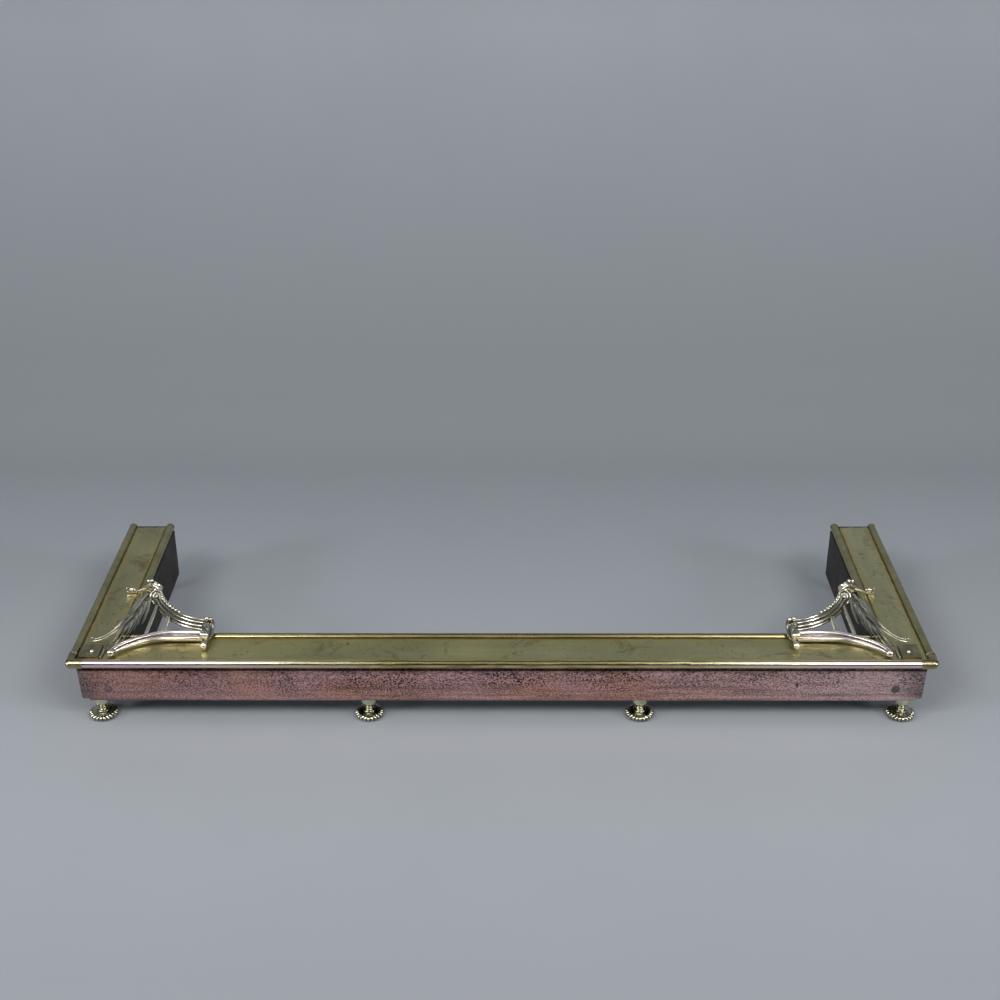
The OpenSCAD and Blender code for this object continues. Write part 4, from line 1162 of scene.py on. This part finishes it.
strap_ball = [(192, 42, h, half) for h, half in (
    (12.4, 1.0), (11.2, 3.3), (9.0, 5.1), (6.4, 5.5), (4.2, 4.6), (2.7, 2.6), (1.6, 3.0), (0.4, 2.7)
)]
front_end = [
    turned(upper_collar),
    strand(husk_outline, husk, steps=4),
    strand(bar_outline, strap, steps=5),
    turned(arm_collar),
    turned(strap_ball),
    knob((190, 88.6, 23.2), (0.1, 0.2, 1), 4.1),
    knob((196, 88.4, 22.2), (0.35, 0.2, 1), 3.3),
]
for side, lean in ((-6.4, 0.5), (0, 1.6), (6.4, 0.5)):
    front_end.append(strand(leaf_outline, [
        (183 + side * 0.1, 88 + side, 12 + lean * 2, 1.6), (188, 84 + side * 0.8, 17 + lean, 2.8),
        (192, 76 + side * 0.7, 19 + lean, 2.6), (195, 69 + side * 0.6, 16 + lean, 0.6),
    ]))
both_castings("front_scroll", front_end)

# %% Over the side rail
side_collar = [
    (94.3, 192.6, 12, 6.2), (94.1, 193.8, 12, 7.6), (93.9, 195.4, 12, 6.9),
    (93.7, 197, 12, 7.5), (93.4, 199, 12, 5.4), (93.2, 200.2, 12, 1.5),
]
side_husk = [
    (95, 193, 13, 4.6), (90, 195.4, 12.6, 7.2), (84, 197, 11.6, 7.4),
    (78, 198, 10, 5.4), (72.6, 198.6, 8.6, 3.2), (69, 199, 7.8, 1.6),
]
side_strap = [
    (76, 198, 9, 1.8), (69, 198.6, 6.4, 1.8), (61, 199, 3.4, 1.8), (53, 199, 1.9, 1.8),
    (46.4, 199, 3.4, 1.6), (44.4, 199, 7.4, 1.4), (47, 199, 11, 1.0),
]
stalk = [(85, 198, 12, 3.4), (83.4, 199.6, 16, 2.2), (82.6, 200.4, 18.6, 2.4)]
side_end = [
    turned(side_collar),
    strand(husk_outline, side_husk, steps=4),
    strand(bar_outline, side_strap, steps=5),
    knob((52.6, 199, 7.4), (-1, 0, 0.1), 4.0),
    knob((79.4, 200.6, 21.4), (-0.5, 0.1, 1), 2.9),
    knob((85.4, 200.8, 21.8), (0.35, 0.1, 1), 3.1),
    strand(round_outline, stalk, steps=4),
]
for side in (-5.2, 0, 5.2):
    side_end.append(strand(leaf_outline, [
        (97, 191 + side * 0.6, 15, 1.5), (91, 194 + side, 19, 2.7),
        (84, 196.6 + side, 18.4, 2.5), (77.6, 198 + side * 0.7, 14, 0.6),
    ]))
both_castings("side_scroll", side_end)

for helper in (round_outline, husk_outline, leaf_outline, bar_outline):
    bpy.data.objects.remove(helper)

# %% [markdown]
# ## The ball feet
# Each foot was turned and then gadrooned: the round bun is cut with lobes
# that meet in sharp valleys. By hand this is a circle that is extruded upwards
# and resized ring by ring. On the bun every fourth column of vertices is then
# drawn in for a valley, and creased so that subdivision keeps it sharp. A
# ring is its height and radius in millimetres and its share of the valley.

# %% Rings of a foot
columns = 22 * 4
bun_rings = [
    (0.0, 14.2, 0), (0.5, 16.6, 0.55), (1.6, 19.2, 0.9), (3.4, 21.0, 1.0), (5.6, 21.5, 1.0),
    (7.6, 20.4, 1.0), (8.9, 18.2, 0.95), (9.6, 15.2, 0.8), (9.9, 12.0, 0.5),
]
stem_rings = [
    (10.0, 9.8), (10.2, 8.4), (10.6, 8.9), (11.4, 9.2), (12.2, 8.9), (12.7, 7.8), (13.0, 6.4),
    (13.8, 5.7), (15.4, 5.4), (17.6, 5.4), (19.0, 5.8), (20.6, 7.0), (22.6, 9.2), (24.4, 11.0),
    (26.0, 11.8), (27.6, 12.0), (35.2, 12.0), (44.6, 12.0), (45.0, 12.0), (45.0, 3.05),
    (45.1, 3.0), (55.8, 3.0), (56.0, 2.9),
]
foot_rings = bun_rings + [(height, radius, 0) for height, radius in stem_rings]
bun_top = 10.0
valley = 2.3
same_height = 1e-5


def in_valley(place):
    """Whether a point of the foot stands in every fourth column."""
    return round(math.atan2(place.y, place.x) / (2 * math.pi) * columns) % 4 == 0


# %% Turn the foot
select_only()
first_radius = foot_rings[0][1] / 1000
bpy.ops.mesh.primitive_circle_add(vertices=columns, radius=first_radius, fill_type="NGON")
foot = newest("turned_foot")
edit_everything()
for (low, inner, _), (high, outer, _) in zip(foot_rings, foot_rings[1:]):
    rise, growth = (high - low) / 1000, outer / inner
    bpy.ops.mesh.extrude_region_move(TRANSFORM_OT_translate={"value": (0, 0, rise)})
    bpy.ops.transform.resize(value=(growth, growth, 1), center_override=(0, 0, high / 1000))
object_mode()

# %% Draw in the valleys
for height, radius, depth in foot_rings:
    if depth == 0:
        continue
    for vertex in foot.data.vertices:
        off_axis = math.hypot(vertex.co.x, vertex.co.y) > 0.001
        on_ring = abs(vertex.co.z - height / 1000) < same_height and off_axis
        vertex.select = on_ring and in_valley(vertex.co)
    deselect(foot.data.edges, foot.data.polygons)
    drawn_in = 1 - valley * depth / radius
    edit_mode()
    bpy.ops.transform.resize(
        value=(drawn_in, drawn_in, 1), center_override=(0, 0, height / 1000)
    )
    object_mode()

# %% Crease the valleys and subdivide
vertices = foot.data.vertices
deselect(foot.data.polygons, vertices)
for edge in foot.data.edges:
    a, b = (vertices[i].co for i in edge.vertices)
    upright = abs(a.z - b.z) > same_height
    edge.select = upright and in_valley(a) and max(a.z, b.z) < bun_top / 1000
    if edge.select:
        for i in edge.vertices:
            vertices[i].select = True
edit_mode()
bpy.ops.mesh.select_mode(type="EDGE")
bpy.ops.transform.edge_crease(value=0.7)
bpy.ops.mesh.select_mode(type="VERT")
object_mode()
rounding = foot.modifiers.new("Rounding", "SUBSURF")
rounding.levels = rounding.render_levels = 1
bpy.ops.object.modifier_apply(modifier=rounding.name)
bpy.ops.object.shade_smooth_by_angle(angle=math.radians(40))

# %% Set six copies under the fender
for side in ("left", "right"):
    for where in ("_front", "_mid", "_rear"):
        name = side + where
        low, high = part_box(name + "_foot")
        select_only(foot)
        bpy.ops.object.duplicate()
        copy = newest(name + "_ball_foot")
        edit_everything()
        bpy.ops.transform.translate(value=((low.x + high.x) / 2, (low.y + high.y) / 2, 0))
        object_mode()
        put_in_place(copy, name + "_foot", foot_brass)
bpy.data.objects.remove(foot)
